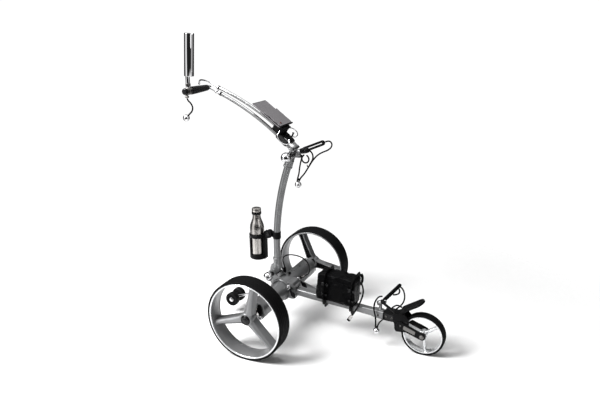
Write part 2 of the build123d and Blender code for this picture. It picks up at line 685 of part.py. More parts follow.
def card_base():
    """Foam pads on the tubes and the box that carries the card plate."""
    base = CARD_PLANE * fillet((Pos(11, 0, -21) * Box(44, 56, 38)).edges(), 3)
    for side in (-1, 1):
        low, high = handle_point(47.9, 1), handle_point(51.3, 1)
        y = side * HANDLE_TUBE_Y
        pad = rod((low[0], y, low[1]), (high[0], y, high[1]), 10.5)
        base += fillet(pad.edges(), 2)
        foot = handle_point(50.2, 5)
        base += block(foot[0] - 9, foot[0] + 9, min(0, y), max(0, y), foot[1] - 6, foot[1] + 6)
    for side in (-1, 1):
        base -= handle_tube(side * HANDLE_TUBE_Y, 46.0, 60.0, HANDLE_TUBE_R + FIT)
    return base - CARD_PLANE * (Pos(40, 0, 3.4) * Box(200, 200, 10))


# ---- cords ------------------------------------------------------------------------------------
UPPER_STRANDS = {
    "upper_a": [(95, -13, 739.6), (96, -14, 728), (92, -16, 711), (87.5, -17, 688),
                (85, -17.5, 664), (79, -17.8, 646), (76.8, -17.6, 633.9)],
    "upper_c": [(153.4, 79.9, 776.5), (164, 92.5, 780.5), (178, 90, 770), (179, 80, 756),
                (168, 66, 746), (151, 53, 740), (134, 39, 728), (122, 26, 709),
                (111, 10, 684), (100, -4, 660), (88, -13, 646), (83.4, -14.2, 633.9)],
    "upper_hook": [(125.8, -31.6, 766), (135, -25, 763), (144, -20, 750), (145, -16, 734),
                   (138, -11, 718), (127, -6, 704)],
    "upper_ring": [(110, -22, 742.5), (101, -23, 734), (101, -24, 721), (111, -25, 712),
                   (124, -25.5, 713), (132, -26, 723), (131, -26, 736), (122, -25, 742.5)],
}
LOWER_STRANDS = {
    "lower_a": [(424, 18, 196), (416, 10, 199), (409, -5, 193), (405, -20, 179),
                (406, -29, 157), (413, -29, 134), (416, -29, 110), (415.4, -29, 81.2)],
    "lower_b": [(447, -26.6, 127), (441, -32, 121), (432, -34, 110), (426, -32, 96),
                (422.2, -29.5, 81.2)],
    "lower_c": [(480.7, 61.2, 230.9), (491, 52, 231), (503, 38, 227), (513, 18, 220),
                (520, -8, 213), (519, -33, 206), (508.5, -53.6, 199), (500.6, -62.3, 191.6)],
    "lower_d": [(477, 65, 217.6), (481, 67, 205), (473, 61, 194), (460, 54, 194)],
    "lower_e": [(484.3, -46.1, 190.2), (492, -38, 197), (504, -33, 200), (515, -30, 193)],
}
HANDLE_STRAND = [(-302, -176, 955.2), (-299.5, -176, 947), (-286, -176, 938),
                 (-278, -176, 922), (-283, -176, 907), (-294, -176, 898), (-302, -176, 890.2)]
CONTROL_ROUTE = [(-14, 34.5, 232.8), (-16, 34.5, 246), (-25, 36, 261), (-20, 37, 279),
                 (0, 38, 291), (28, 41, 294), (55, 48, 288), (75, 59, 271), (82, 70, 248),
                 (81, 80, 224), (76, 88, 203), (66, 90.5, 189.4), (54, 87, 183)]
LEAD_ROUTE = [(335.4, 22, 232), (341, 21, 220), (345, 19, 206), (346, 14, 193),
              (346, 4, 181), (345, -9, 172), (343, -21, 162), (338, -30, 149),
              (331, -34, 134), (321, -36, 118)]


def strands(routes, diameter):
    """One tube for each strand of an elastic cord."""
    return group(*[cord_tube(n, route, diameter) for n, route in routes.items()])


def end_ball(x, y, z):
    """Ball on the end of an elastic cord."""
    return Pos(x, y, z) * Sphere(BALL_R)


def plug(route, length, r, collar_r):
    """Round plug that carries on straight from the end of a cord's route."""
    end = Vector(*route[-1])
    along = (end - Vector(*route[-2])).normalized()
    body = rod(end, end + along * length, r)
    return body + rod(end + along * length * 0.4, end + along * length * 0.72, collar_r)


def centred(solid, x_mid):
    """Move a part so that the middle of the footprint is at X = 0."""
    return Pos(-x_mid, 0, 0) * solid


def build():
    """Every node by name."""
    nodes = {
        "main_beam": main_beam(),
        "front_beam": front_beam(),
        "axle_housing": axle_housing(),
        "wheel_bearings": wheel_bearings(),
        "drive_units": drive_units(),
        "centre_bracket": centre_bracket(),
        "motor_controller": block(-20, 20, -56, 56, AXLE_Z - 18, AXLE_Z + 18, 3),
        "cable_sockets": cable_sockets(),
        "battery_pack": battery_pack(),
        "battery_bag": battery_bag(),
        "anti_tip_rod": anti_tip_rod(),
        "front_bracket": front_bracket(),
        "chassis_screws": chassis_screws(),
        "fork": fork(),
        "front_axle": front_axle(),
        "bag_foot": bag_foot(),
        "support_post": support_post(),
        "lower_cradle": cradle(LOW_CRADLE, 26.0, 19.5, 15.0, 8.0),
        "upper_cradle": cradle(HIGH_CRADLE, 21.0, 0.0, 21.0, 15.0),
        "clamp_levers": clamp_levers(),
        "upright_tube": upright_tube(),
        "upright_foot": upright_foot(),
        "elbow_bracket": elbow_bracket(),
        "bottle_clamp": bottle_clamp(),
        "bottle_basket": bottle_basket(),
        "bottle": bottle(),
        "bottle_cap": bottle_cap(),
        "lower_knob": ball_knob(*FOLD, -60, 4.6, -20.4, (-42, -27.3, 11)),
        "elbow_knob": ball_knob(*ELBOW, -47, 3.6, -14.2, (-29, -19.9, 9)),
        "handle_frame": handle_frame(),
        "handle_rods": handle_rods(),
        "grip": grip(),
        "umbrella_clamp": umbrella_clamp(),
        "umbrella_tube": umbrella_tube(),
        "speed_dial": speed_dial(),
        "card_base": card_base(),
        "card_plate": card_plate(),
        "card_clip": card_clip(),
        "upper_bungee": strands(UPPER_STRANDS, SHOCK_CORD),
        "upper_bungee_ball": end_ball(80, -16, 620.1),
        "lower_bungee": strands(LOWER_STRANDS, SHOCK_CORD),
        "lower_bungee_ball": end_ball(419, -29, 67.7),
        "handle_bungee": cord_tube("handle", HANDLE_STRAND, SHOCK_CORD),
        "handle_bungee_ball": end_ball(-311.7, -176, 880.8),
        "control_cable": cord_tube("control", CONTROL_ROUTE, CONTROL_CORD),
        "control_plug": plug(CONTROL_ROUTE, 17, 4.5, 6),
        "battery_lead": cord_tube("lead", LEAD_ROUTE, LEAD_CORD),
        "battery_connector": plug(LEAD_ROUTE, 30, 6, 7.5),
    }
    nodes["front_rim"], nodes["front_tyre"] = front_wheel()
    for word, side, angles in (("right", -1, (77, -43, -163)), ("left", 1, (112, -8, -128))):
        for name, solid in rear_wheel(side, angles).items():
            nodes[f"{name}_{word}"] = solid
        nodes[f"anti_tip_wheel_{word}"] = anti_tip_wheel(side)
        nodes[f"hub_lever_{word}"] = hub_lever(side)
    return nodes


CORD_NODES = ("upper_bungee", "upper_bungee_ball", "lower_bungee", "lower_bungee_ball",
              "handle_bungee", "handle_bungee_ball", "control_cable", "control_plug",
              "battery_lead", "battery_connector")


def footprint_middle(nodes):
    """X of the middle of the trolley's box, without its cords."""
    boxes = [s.bounding_box() for n, s in nodes.items() if n not in CORD_NODES]
    return (min(b.min.X for b in boxes) + max(b.max.X for b in boxes)) / 2


NODES = build()
X_MID = footprint_middle(NODES)
os.makedirs("parts", exist_ok=True)
for node, shape in NODES.items():
    export_step(centred(shape, X_MID), f"parts/{node}.step")
print(len(NODES), "nodes, footprint middle at X =", round(X_MID, 3))
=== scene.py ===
"""Electric golf trolley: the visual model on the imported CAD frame.

Pieces are laid out in millimetres from the point on the ground under the middle of the rear
axle (X forward, Y left, Z up) and placed in the row frame through the rear tyre's own box.
"""
from math import cos, exp, hypot, pi, radians, sin, sqrt

import bmesh
import bpy
from mathutils import Matrix, Vector, noise


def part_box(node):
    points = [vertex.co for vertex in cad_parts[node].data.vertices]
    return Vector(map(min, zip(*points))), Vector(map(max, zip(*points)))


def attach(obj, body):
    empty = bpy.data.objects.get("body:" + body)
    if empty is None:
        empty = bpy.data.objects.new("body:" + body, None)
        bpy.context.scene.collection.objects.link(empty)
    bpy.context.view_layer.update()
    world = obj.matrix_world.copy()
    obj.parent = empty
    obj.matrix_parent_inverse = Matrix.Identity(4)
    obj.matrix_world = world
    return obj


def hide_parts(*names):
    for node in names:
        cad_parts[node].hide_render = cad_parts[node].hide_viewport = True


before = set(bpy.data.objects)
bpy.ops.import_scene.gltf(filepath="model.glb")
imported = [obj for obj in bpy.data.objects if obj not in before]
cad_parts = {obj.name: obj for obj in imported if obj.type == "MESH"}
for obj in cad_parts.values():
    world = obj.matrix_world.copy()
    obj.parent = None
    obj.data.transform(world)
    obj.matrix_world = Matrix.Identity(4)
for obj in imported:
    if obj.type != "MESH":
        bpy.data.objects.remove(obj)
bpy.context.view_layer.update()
TYRE_LOW, TYRE_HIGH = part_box("rear_tyre_right")
AXLE_X = (TYRE_LOW[0] + TYRE_HIGH[0]) / 2

# directions, and places in millimetres, that many pieces share
ACROSS, NEARWARD, UP = (0, 1, 0), (0, -1, 0), (0, 0, 1)
WHEEL_Y = 296                  # middle of a rear wheel, off the trolley's middle
AXLE = (0, 0, 160)
FRONT_HUB = (597.6, 0, 83.6)
FOLD = (-42, 0, 224)           # lower fold hinge
ELBOW = (45, 0, 731)           # handle hinge
RATCHET = (-64, 0, 389)        # bottle holder pivot
BAR = (-302, 0, 981)           # grip bar's axis


# ---- meshes -------------------------------------------------------------------------------
def row(point):
    """A point in millimetres from under the axle, in the row frame in metres."""
    return Vector((point[0] / 1000 + AXLE_X, point[1] / 1000, point[2] / 1000))


def soften(points, radius, steps=4, closed=True):
    """Polygon with its corners rounded."""
    points = [Vector(p) for p in points]
    count = len(points)
    out = []
    for i, p in enumerate(points):
        if not closed and i in (0, count - 1):
            out.append(p)
            continue
        a, b = points[i - 1], points[(i + 1) % count]
        start = p + (a - p).normalized() * min(radius, 0.45 * (a - p).length)
        end = p + (b - p).normalized() * min(radius, 0.45 * (b - p).length)
        for k in range(steps + 1):
            t = k / steps
            out.append(start.lerp(p, t).lerp(p.lerp(end, t), t))
    return out


def loft(rings, closed=True, caps=True, loop=False):
    """Skin over rings of equal length; a ring of one point closes to a tip."""
    bm = bmesh.new()
    rows = [[bm.verts.new(p) for p in ring] for ring in rings]
    pairs = list(zip(rows, rows[1:]))
    if loop:
        pairs.append((rows[-1], rows[0]))
    for a, b in pairs:
        n = max(len(a), len(b))
        for i in range(n if closed else n - 1):
            quad = [a[i % len(a)], a[(i + 1) % len(a)], b[(i + 1) % len(b)], b[i % len(b)]]
            face = []
            for v in quad:
                if v not in face:
                    face.append(v)
            if len(face) > 2:
                bm.faces.new(face)
    if caps and not loop:
        for ring in (rows[0], rows[-1]):
            if len(ring) > 2:
                bm.faces.new(ring)
    bmesh.ops.recalc_face_normals(bm, faces=bm.faces)
    return bm


def frame_of(axis):
    """Two unit vectors square to axis and to each other."""
    axis = Vector(axis).normalized()
    guide = Vector(UP) if abs(axis.z) < 0.9 else Vector((1, 0, 0))
    side = guide.cross(axis).normalized()
    return axis, side, axis.cross(side)


def lathe(profile, centre, axis, steps=72, loop=True):
    """Solid of revolution of (radius, along) points about an axis through centre."""
    axis, side, up = frame_of(axis)
    rings = []
    for r, t in profile:
        base = Vector(centre) + axis * t
        if r < 1e-4:
            rings.append([base])
            continue
        turns = [2 * pi * k / steps for k in range(steps)]
        rings.append([base + (side * cos(a) + up * sin(a)) * r for a in turns])
    ends = len(rings[0]) == 1 and len(rings[-1]) == 1
    return loft(rings, loop=loop and not ends, caps=False)


def drum(centre, axis, radius, t0, t1, edge=0.8, bore=0.0, steps=48):
    """Cylinder or ring with rounded rims."""
    outline = [(bore, t0), (radius, t0), (radius, t1), (bore, t1)]
    points = [(p.x, p.y) for p in soften([(a, b, 0) for a, b in outline], edge, 3, bore > 0)]
    return lathe(points, centre, axis, steps, loop=bore > 0)


def ball(centre, radius, axis=UP, steps=40, flat=0.0):
    """Sphere, with a small flat at its start where flat is set."""
    n = steps // 2
    profile = [(radius * sin(pi * k / n), -radius * cos(pi * k / n)) for k in range(n + 1)]
    profile[0] = (0, -radius * (1 - flat))
    profile[-1] = (0, radius)
    return lathe(profile, centre, axis, steps)


def prism(outline, y0, y1, radius=0.0, steps=4):
    """Plate across Y from an (x, z) outline with rounded corners."""
    points = [Vector((x, 0, z)) for x, z in outline]
    if radius:
        points = soften(points, radius, steps)
    return loft([[Vector((p.x, y, p.z)) for p in points] for y in (y0, y1)])


def slab(outline, side, near, far, radius=0.0, steps=4):
    """Plate on one side of the trolley, between two distances from its middle."""
    y0, y1 = sorted((side * near, side * far))
    return prism(outline, y0, y1, radius, steps)


def around(centre, radius, degrees):
    """Point on a circle about an axis across the trolley."""
    t = radians(degrees)
    return Vector((centre[0] + radius * cos(t), centre[1], centre[2] + radius * sin(t)))


def tip(degrees):
    """Turn about the axis across the trolley, nose down where degrees is positive."""
    return Matrix.Rotation(radians(degrees), 3, "Y")


def capsule(a, b, radius, steps=12):
    """Outline (x, z) of a round-ended link."""
    a, b = Vector((a[0], 0, a[1])), Vector((b[0], 0, b[1]))
    along = (b - a).normalized()
    side = Vector((-along.z, 0, along.x))
    out = []
    for centre, start in ((b, -90), (a, 90)):
        for k in range(steps + 1):
            t = radians(start + 180 * k / steps)
            p = centre + (along * cos(t) + side * sin(t)) * radius
            out.append((p.x, p.z))
    return out


def smooth_path(points, per=6):
    """Points of a smooth curve through the given ones."""
    p = [Vector(q) for q in points]
    p = [p[0] * 2 - p[1]] + p + [p[-1] * 2 - p[-2]]
    out = []
    for a, b, c, d in zip(p, p[1:], p[2:], p[3:]):
        for k in range(per):
            t = k / per
            out.append(0.5 * (2 * b + (c - a) * t + (2 * a - 5 * b + 4 * c - d) * t * t
                + (3 * b - a - 3 * c + d) * t ** 3))
    return out + [p[-2]]


def sweep(path, section, up=None, scale=None, loop=False):
    """Skin of a flat section carried along a path; up sets the section's second direction."""
    path = [Vector(p) for p in path]
    rings = []
    _, side, _ = frame_of(path[1] - path[0])
    for i, p in enumerate(path):
        if loop:
            tangent = path[(i + 1) % len(path)] - path[i - 1]
        else:
            tangent = path[min(i + 1, len(path) - 1)] - path[max(i - 1, 0)]
        tangent.normalize()
        if up is not None:
            side = Vector(up).cross(tangent).normalized()
        side = (side - tangent * side.dot(tangent)).normalized()
        high = tangent.cross(side)
        k = scale(i / (len(path) - 1)) if scale else 1.0
        rings.append([p + side * (a * k) + high * (b * k) for a, b in section])
    return loft(rings, loop=loop)


def circle(radius, steps=20):
    """Round section."""
    turns = [2 * pi * k / steps for k in range(steps)]
    return [(radius * cos(a), radius * sin(a)) for a in turns]


def box_section(width, height, edge, steps=4):
    """Rectangular section with rounded corners."""
    w, h = width / 2, height / 2
    corners = [(-w, -h, 0), (w, -h, 0), (w, h, 0), (-w, h, 0)]
    return [(p.x, p.y) for p in soften(corners, edge, steps)]


def brick(centre, size, edge=1.0, matrix=None):
    """Rounded box; matrix turns it about its centre."""
    sx, sy, sz = (s / 2 for s in size)
    section = [(p.x, p.y) for p in soften([(-sx, -sy, 0), (sx, -sy, 0), (sx, sy, 0), (-sx, sy, 0)],
        edge, 3)]
    rings = []
    for z, k in ((-sz, edge), (-sz + edge * 0.35, edge * 0.3), (-sz + edge, 0), (sz - edge, 0),
            (sz - edge * 0.35, edge * 0.3), (sz, edge)):
        rings.append([Vector((a * (1 - k / sx), b * (1 - k / sy), z)) for a, b in section])
    bm = loft(rings)
    turn = matrix.to_4x4() if matrix else Matrix()
    bmesh.ops.transform(bm, matrix=Matrix.Translation(Vector(centre)) @ turn, verts=bm.verts)
    return bm


def add(name, parts, body, finish, nodes=(), bevel=0.0, angle=38, levels=0):
    """One piece from meshes in millimetres, riding on a body and standing for CAD nodes."""
    whole = bmesh.new()
    for part in parts:
        part_mesh = bpy.data.meshes.new("part")
        part.to_mesh(part_mesh)
        part.free()
        whole.from_mesh(part_mesh)
        bpy.data.meshes.remove(part_mesh)
    for v in whole.verts:
        v.co = row(v.co)
    for face in whole.faces:
        face.smooth = True
    if not bevel and not levels:
        for e in whole.edges:
            e.smooth = len(e.link_faces) == 2 and e.calc_face_angle(0) < radians(angle)
    mesh = bpy.data.meshes.new(name)
    whole.to_mesh(mesh)
    whole.free()
    piece = bpy.data.objects.new(name, mesh)
    bpy.context.scene.collection.objects.link(piece)
    mesh.materials.append(FINISHES[finish])
    if bevel:
        mod = piece.modifiers.new("edges", "BEVEL")
        mod.width = bevel / 1000
        mod.segments = 2
        mod.limit_method = "ANGLE"
        mod.angle_limit = radians(angle)
        mod.harden_normals = True
    if levels:
        mod = piece.modifiers.new("soft", "SUBSURF")
        mod.levels = mod.render_levels = levels
    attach(piece, body)
    if nodes:
        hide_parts(*nodes)
    return piece


# ---- materials ----------------------------------------------------------------------------
def wire(tree, shader, inputs):
    """Sets a node's inputs to numbers, colours or other nodes' outputs."""
    for socket, value in inputs.items():
        if isinstance(value, bpy.types.NodeSocket):
            tree.links.new(value, shader.inputs[socket])
        else:
            shader.inputs[socket].default_value = value


def new_node(tree, kind, inputs=None, **facts):
    """New shader node with its inputs set."""
    made = tree.nodes.new("ShaderNode" + kind)
    for key, value in facts.items():
        setattr(made, key, value)
    wire(tree, made, inputs or {})
    return made


def shade(name, colour, rough, metal=0.0, pattern="cast", size=600.0, depth=0.25, vary=0.12,
        rough_vary=0.08, coat=0.0, sheen=0.0, stretch=(1, 1, 1), dust=0.0, spec=0.5):
    """Procedural material: fine surface texture, uneven colour and uneven gloss."""
    mat = bpy.data.materials.new(name)
    mat.use_nodes = True
    tree = mat.node_tree
    place = new_node(tree, "TexCoord").outputs["Object"]
    spot = new_node(tree, "Mapping", {"Vector": place, "Scale": stretch}).outputs["Vector"]

    def noise_at(frequency, detail):
        inputs = {"Vector": spot, "Scale": frequency, "Detail": detail}
        return new_node(tree, "TexNoise", inputs).outputs["Fac"]

    fine = noise_at(size, 3)
    broad = noise_at(9.0, 5)
    height = fine
    if pattern == "foam":
        height = new_node(tree, "TexVoronoi", {"Vector": spot, "Scale": size}).outputs["Distance"]
    if pattern in ("weave", "braid"):
        bands = []
        for direction in ("X", "Z") if pattern == "weave" else ("DIAGONAL", "Y"):
            inputs = {"Vector": spot, "Scale": size, "Distortion": 0.6, "Detail": 1.0}
            wave = new_node(tree, "TexWave", inputs, bands_direction=direction)
            bands.append(wave.outputs["Fac"])
        height = new_node(tree, "Math", dict(enumerate(bands)), operation="ADD").outputs["Value"]
    bump = new_node(tree, "Bump", {"Strength": depth, "Distance": 0.0006, "Height": height})

    part = new_node(tree, "Math", {0: broad, 1: 0.65}, operation="MULTIPLY").outputs["Value"]
    blend = new_node(tree, "Math", {0: fine, 1: 0.35, 2: part}, operation="MULTIPLY_ADD")
    ramp = new_node(tree, "ValToRGB", {"Fac": blend.outputs["Value"]})
    dark = [c * (1 - vary) for c in colour]
    light = [min(1.0, c * (1 + vary) + dust) for c in colour]
    for end, position, tint in zip(ramp.color_ramp.elements, (0.3, 0.75), (dark, light)):
        end.position = position
        end.color = (*tint, 1)

    gloss = new_node(tree, "MapRange",
        {"Value": noise_at(38.0, 4), "From Min": 0.3, "From Max": 0.7,
        "To Min": max(0.02, rough - rough_vary), "To Max": min(1.0, rough + rough_vary)})
    wire(tree, tree.nodes["Principled BSDF"],
        {"Metallic": metal, "Specular IOR Level": spec, "Coat Weight": coat,
        "Coat Roughness": 0.12, "Sheen Weight": sheen, "Sheen Roughness": 0.45,
        "Normal": bump.outputs["Normal"], "Base Color": ramp.outputs["Color"],
        "Roughness": gloss.outputs["Result"]})
    return mat


FINISHES = {
    "silver": shade("satin_silver", (0.20, 0.202, 0.205), 0.34, 0.72, size=1500, depth=0.05,
        vary=0.07, coat=0.2),
    "alloy": shade("wheel_silver", (0.215, 0.217, 0.221), 0.40, 0.62, size=1100, depth=0.06,
        vary=0.06, coat=0.1),
    "polished": shade("polished_tube", (0.40, 0.402, 0.405), 0.17, 1.0, size=1500, depth=0.03,
        vary=0.06),
    "lip": shade("bright_lip", (0.66, 0.67, 0.68), 0.26, 0.85, size=900, depth=0.04, vary=0.05),
    "chrome": shade("chrome", (0.66, 0.66, 0.67), 0.06, 1.0, size=300, depth=0.01, vary=0.04,
        rough_vary=0.03),
    "steel": shade("brushed_steel", (0.55, 0.54, 0.53), 0.26, 1.0, size=420, depth=0.10, vary=0.10,
        stretch=(1, 1, 0.03)),
    "bottle": shade("bottle_steel", (0.47, 0.45, 0.43), 0.24, 1.0, size=520, depth=0.09, vary=0.08,
        stretch=(1, 1, 0.02)),
    "plate": shade("brushed_plate", (0.17, 0.165, 0.16), 0.34, 0.9, size=700, depth=0.12,
        vary=0.10, stretch=(0.04, 1, 1)),
    "black": shade("moulded_black", (0.0030, 0.0030, 0.0034), 0.42, size=1300, depth=0.22,
        vary=0.35, dust=0.0006, spec=0.08),
    "gloss": shade("gloss_black", (0.003, 0.003, 0.0035), 0.16, size=500, depth=0.02, vary=0.3,
        coat=0.08, spec=0.2),
    "tyre": shade("tyre_rubber", (0.0030, 0.0030, 0.0033), 0.66, size=900, depth=0.35, vary=0.3,
        dust=0.001, spec=0.06),
    "rubber": shade("soft_rubber", (0.0032, 0.0032, 0.0036), 0.5, size=1200, depth=0.25, vary=0.3,
        dust=0.0006, spec=0.08),
    "foam": shade("grip_foam", (0.019, 0.019, 0.0195), 0.75, pattern="foam", size=1500, depth=0.5,
        vary=0.35, sheen=0.02, dust=0.002, spec=0.12),
    "nylon": shade("bag_nylon", (0.0012, 0.0012, 0.0014), 0.36, pattern="weave", size=620,
        depth=0.30, vary=0.35, dust=0.0003, spec=0.05),
    "webbing": shade("strap_webbing", (0.0018, 0.0018, 0.002), 0.5, pattern="weave", size=420,
        depth=0.45, vary=0.35, spec=0.06),
    "braid": shade("braided_cord", (0.0018, 0.0018, 0.002), 0.6, pattern="braid", size=480,
        depth=0.5, vary=0.35, spec=0.05),
    "cable": shade("cable_jacket", (0.003, 0.003, 0.0035), 0.35, size=700, depth=0.08, vary=0.3,
        spec=0.15),
    "card": shade("card_grey", (0.20, 0.19, 0.20), 0.38, 0.35, size=900, depth=0.06, vary=0.08,
        coat=0.2),
    "rivet": shade("rivet_copper", (0.10, 0.035, 0.03), 0.4, 0.6, size=600, depth=0.05),
    "gunmetal": shade("gunmetal", (0.16, 0.155, 0.15), 0.26, 1.0, size=500, depth=0.03),
    "case": shade("cell_case", (0.03, 0.03, 0.035), 0.5, size=900, depth=0.15, vary=0.25),
}

# ---- camera, light, floor -------------------------------------------------------------------
scene = bpy.context.scene
az, el, roll = (radians(a) for a in (26.2477, 17.3887, -0.7082))
forward = Vector((-sin(az) * cos(el), cos(az) * cos(el), -sin(el)))
right = Vector((cos(az), sin(az), 0))
above = right.cross(forward)
right, above = (right * cos(roll) + above * sin(roll), above * cos(roll) - right * sin(roll))
camera_data = bpy.data.cameras.new("camera")
camera_data.lens = 35.036
camera_data.sensor_width = 36.0
camera_data.clip_end = 60
camera = bpy.data.objects.new("camera", camera_data)
scene.collection.objects.link(camera)
turn = Matrix((right, above, -forward)).transposed()
camera.matrix_world = Matrix.Translation(row((1052.9, -1974.4, 1241.8))) @ turn.to_4x4()
scene.camera = camera
scene.view_settings.view_transform = "Standard"

world = bpy.data.worlds.new("studio")
scene.world = world
world.use_nodes = True
sky = world.node_tree
WHITE = (1, 1, 1, 1)


def stops(ramp, rows):
    """Fills a colour ramp with grey stops."""
    elements = ramp.color_ramp.elements
    for element, (position, value) in zip(elements, (rows[0], rows[-1])):
        element.position, element.color = position, (value, value, value, 1)
    for position, value in rows[1:-1]:
        elements.new(position).color = (value, value, value, 1)


# reflections: a bright ceiling and two upright soft boxes in a dim room
split = new_node(sky, "SeparateXYZ",
    {"Vector": new_node(sky, "TexCoord").outputs["Generated"]}).outputs
ceiling = new_node(sky, "ValToRGB", {"Fac": split["Z"]})
stops(ceiling, [(0.0, 0.0), (0.36, 0.02), (0.52, 0.75), (0.70, 0.85), (0.84, 0.25), (1.0, 0.12)])
compass = new_node(sky, "Math", {0: split["Y"], 1: split["X"]}, operation="ARCTAN2")
heading = new_node(sky, "MapRange", {"Value": compass.outputs["Value"], "From Min": -pi,
    "From Max": pi})
boxes = new_node(sky, "ValToRGB", {"Fac": heading.outputs["Result"]})
stops(boxes, [(0.0, 0.05), (0.085, 0.04), (0.105, 1.25), (0.185, 1.25), (0.21, 0.02), (0.42, 0.02),
    (0.475, 0.04), (0.50, 0.62), (0.565, 0.62), (0.60, 0.05), (0.74, 0.05), (0.86, 0.05),
    (1.0, 0.05)])
room = new_node(sky, "Math", {0: ceiling.outputs["Color"], 1: boxes.outputs["Color"]},
    operation="MAXIMUM")
mirror = new_node(sky, "Background", {"Color": room.outputs["Value"]})
white = new_node(sky, "Background", {"Color": WHITE, "Strength": 1.05})
backdrop = sky.nodes["Background"]
wire(sky, backdrop, {"Color": WHITE, "Strength": 0.125})
seen = new_node(sky, "LightPath").outputs
glossy = new_node(sky, "MixShader", {0: seen["Is Glossy Ray"], 1: backdrop.outputs[0],
    2: mirror.outputs[0]})
choose = new_node(sky, "MixShader",
    {0: seen["Is Camera Ray"], 1: glossy.outputs[0], 2: white.outputs[0]})
wire(sky, sky.nodes["World Output"], {"Surface": choose.outputs[0]})


def lamp(name, where, target, size, power):
    """Soft area light aimed at a point."""
    data = bpy.data.lights.new(name, "AREA")
    data.shape = "RECTANGLE"
    data.size, data.size_y = size
    data.energy = power
    obj = bpy.data.objects.new(name, data)
    scene.collection.objects.link(obj)
    obj.location = Vector(where)
    aim = Vector(target) - Vector(where)
    obj.rotation_euler = aim.to_track_quat("-Z", "Y").to_euler()
    return obj


lamp("key_light", (-1.9, -1.9, 2.9), (0.0, 0.0, 0.3), (1.7, 1.7), 265)
lamp("top_light", (-0.3, -0.4, 3.4), (0.0, 0.0, 0.2), (2.4, 2.0), 46)
lamp("side_light", (2.6, -1.0, 1.5), (0.0, 0.0, 0.4), (0.9, 1.8), 10)

FLOOR_HALF = 9                 # metres
bm = bmesh.new()
for x, y in ((-1, -1), (1, -1), (1, 1), (-1, 1)):
    bm.verts.new((x * FLOOR_HALF, y * FLOOR_HALF, 0))
bm.faces.new(bm.verts[:])
floor_mesh = bpy.data.meshes.new("floor")
bm.to_mesh(floor_mesh)
bm.free()
floor = bpy.data.objects.new("floor", floor_mesh)
scene.collection.objects.link(floor)
floor_paint = shade("floor_white", (0.90, 0.90, 0.90), 0.75, size=40, depth=0.02, vary=0.01)
paint = floor_paint.node_tree
spread = new_node(paint, "VectorMath", {0: new_node(paint, "TexCoord").outputs["Object"]},
    operation="LENGTH")
# the floor fades out between these distances, so no edge of it shows
fade = new_node(paint, "MapRange", {"Value": spread.outputs["Value"], "From Min": 0.75,
    "From Max": 1.6}, interpolation_type="SMOOTHSTEP")
cover = new_node(paint, "MixShader",
    {0: fade.outputs["Result"], 1: paint.nodes["Principled BSDF"].outputs["BSDF"],
    2: new_node(paint, "BsdfTransparent").outputs["BSDF"]})
wire(paint, paint.nodes["Material Output"], {"Surface": cover.outputs["Shader"]})
floor_mesh.materials.append(floor_paint)


# ---- cords --------------------------------------------------------------------------------
def lay_cord(name, route, diameter, body, finish, node, length, far_end, **facts):
    """Free cord on one smooth spline whose control points are the route's."""
    data = bpy.data.curves.new(name, "CURVE")
    data.dimensions = "3D"
    data.bevel_depth = diameter / 2000
    data.bevel_resolution = 3
    data.use_fill_caps = True
    data.resolution_u = 10
    spline = data.splines.new("NURBS")
    spline.points.add(len(route) - 1)
    for point, place in zip(spline.points, route):
        point.co = (*row(place), 1)
    spline.order_u = 3
    spline.use_endpoint_u = True
    piece = bpy.data.objects.new(name, data)
    scene.collection.objects.link(piece)
    data.materials.append(FINISHES[finish])
    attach(piece, body)
    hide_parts(node)
    return piece


def bead(name, centre, axis, body, node):
    """Chrome end ball with a collar where the cord goes in."""
    axis = Vector(axis).normalized()
    parts = [ball(centre, 12.9, axis, 48), drum(centre, axis, 4.2, 12.0, 13.2, 0.4, 2.1, 24)]
    return add(name, parts, body, "chrome", [node])


SHOCK_CORD = 6.0
UPPER = [
    ("upper_a", [(95, -13, 739.6), (96, -14, 728), (92, -16, 711), (87.5, -17, 688),
        (85, -17.5, 664), (79, -17.8, 646), (76.8, -17.6, 633.9)], 108, "object"),
    ("upper_c", [(153.4, 79.9, 776.5), (164, 92.5, 780.5), (178, 90, 770), (179, 80, 756),
        (168, 66, 746), (151, 53, 740), (134, 39, 728), (122, 26, 709), (111, 10, 684),
        (100, -4, 660), (88, -13, 646), (83.4, -14.2, 633.9)], 233, "object"),
    ("upper_hook", [(125.8, -31.6, 766), (135, -25, 763), (144, -20, 750), (145, -16, 734),
        (138, -11, 718), (127, -6, 704)], 79, "fitting"),
    ("upper_ring", [(110, -22, 742.5), (101, -23, 734), (101, -24, 721), (111, -25, 712),
        (124, -25.5, 713), (132, -26, 723), (131, -26, 736), (122, -25, 742.5)], 83, "object"),
]
LOWER = [
    ("lower_a", [(424, 18, 196), (416, 10, 199), (409, -5, 193), (405, -20, 179), (406, -29, 157),
        (413, -29, 134), (416, -29, 110), (415.4, -29, 81.2)], 148, "object"),
    ("lower_b", [(447, -26.6, 127), (441, -32, 121), (432, -34, 110), (426, -32, 96),
        (422.2, -29.5, 81.2)], 55, "object"),
    ("lower_c", [(480.7, 61.2, 230.9), (491, 52, 231), (503, 38, 227), (513, 18, 220),
        (520, -8, 213), (519, -33, 206), (508.5, -53.6, 199), (500.6, -62.3, 191.6)], 146,
        "object"),
    ("lower_d", [(477, 65, 217.6), (481, 67, 205), (473, 61, 194), (460, 54, 194)], 40, "knot"),
    ("lower_e", [(484.3, -46.1, 190.2), (492, -38, 197), (504, -33, 200), (515, -30, 193)], 38,
        "object"),
]

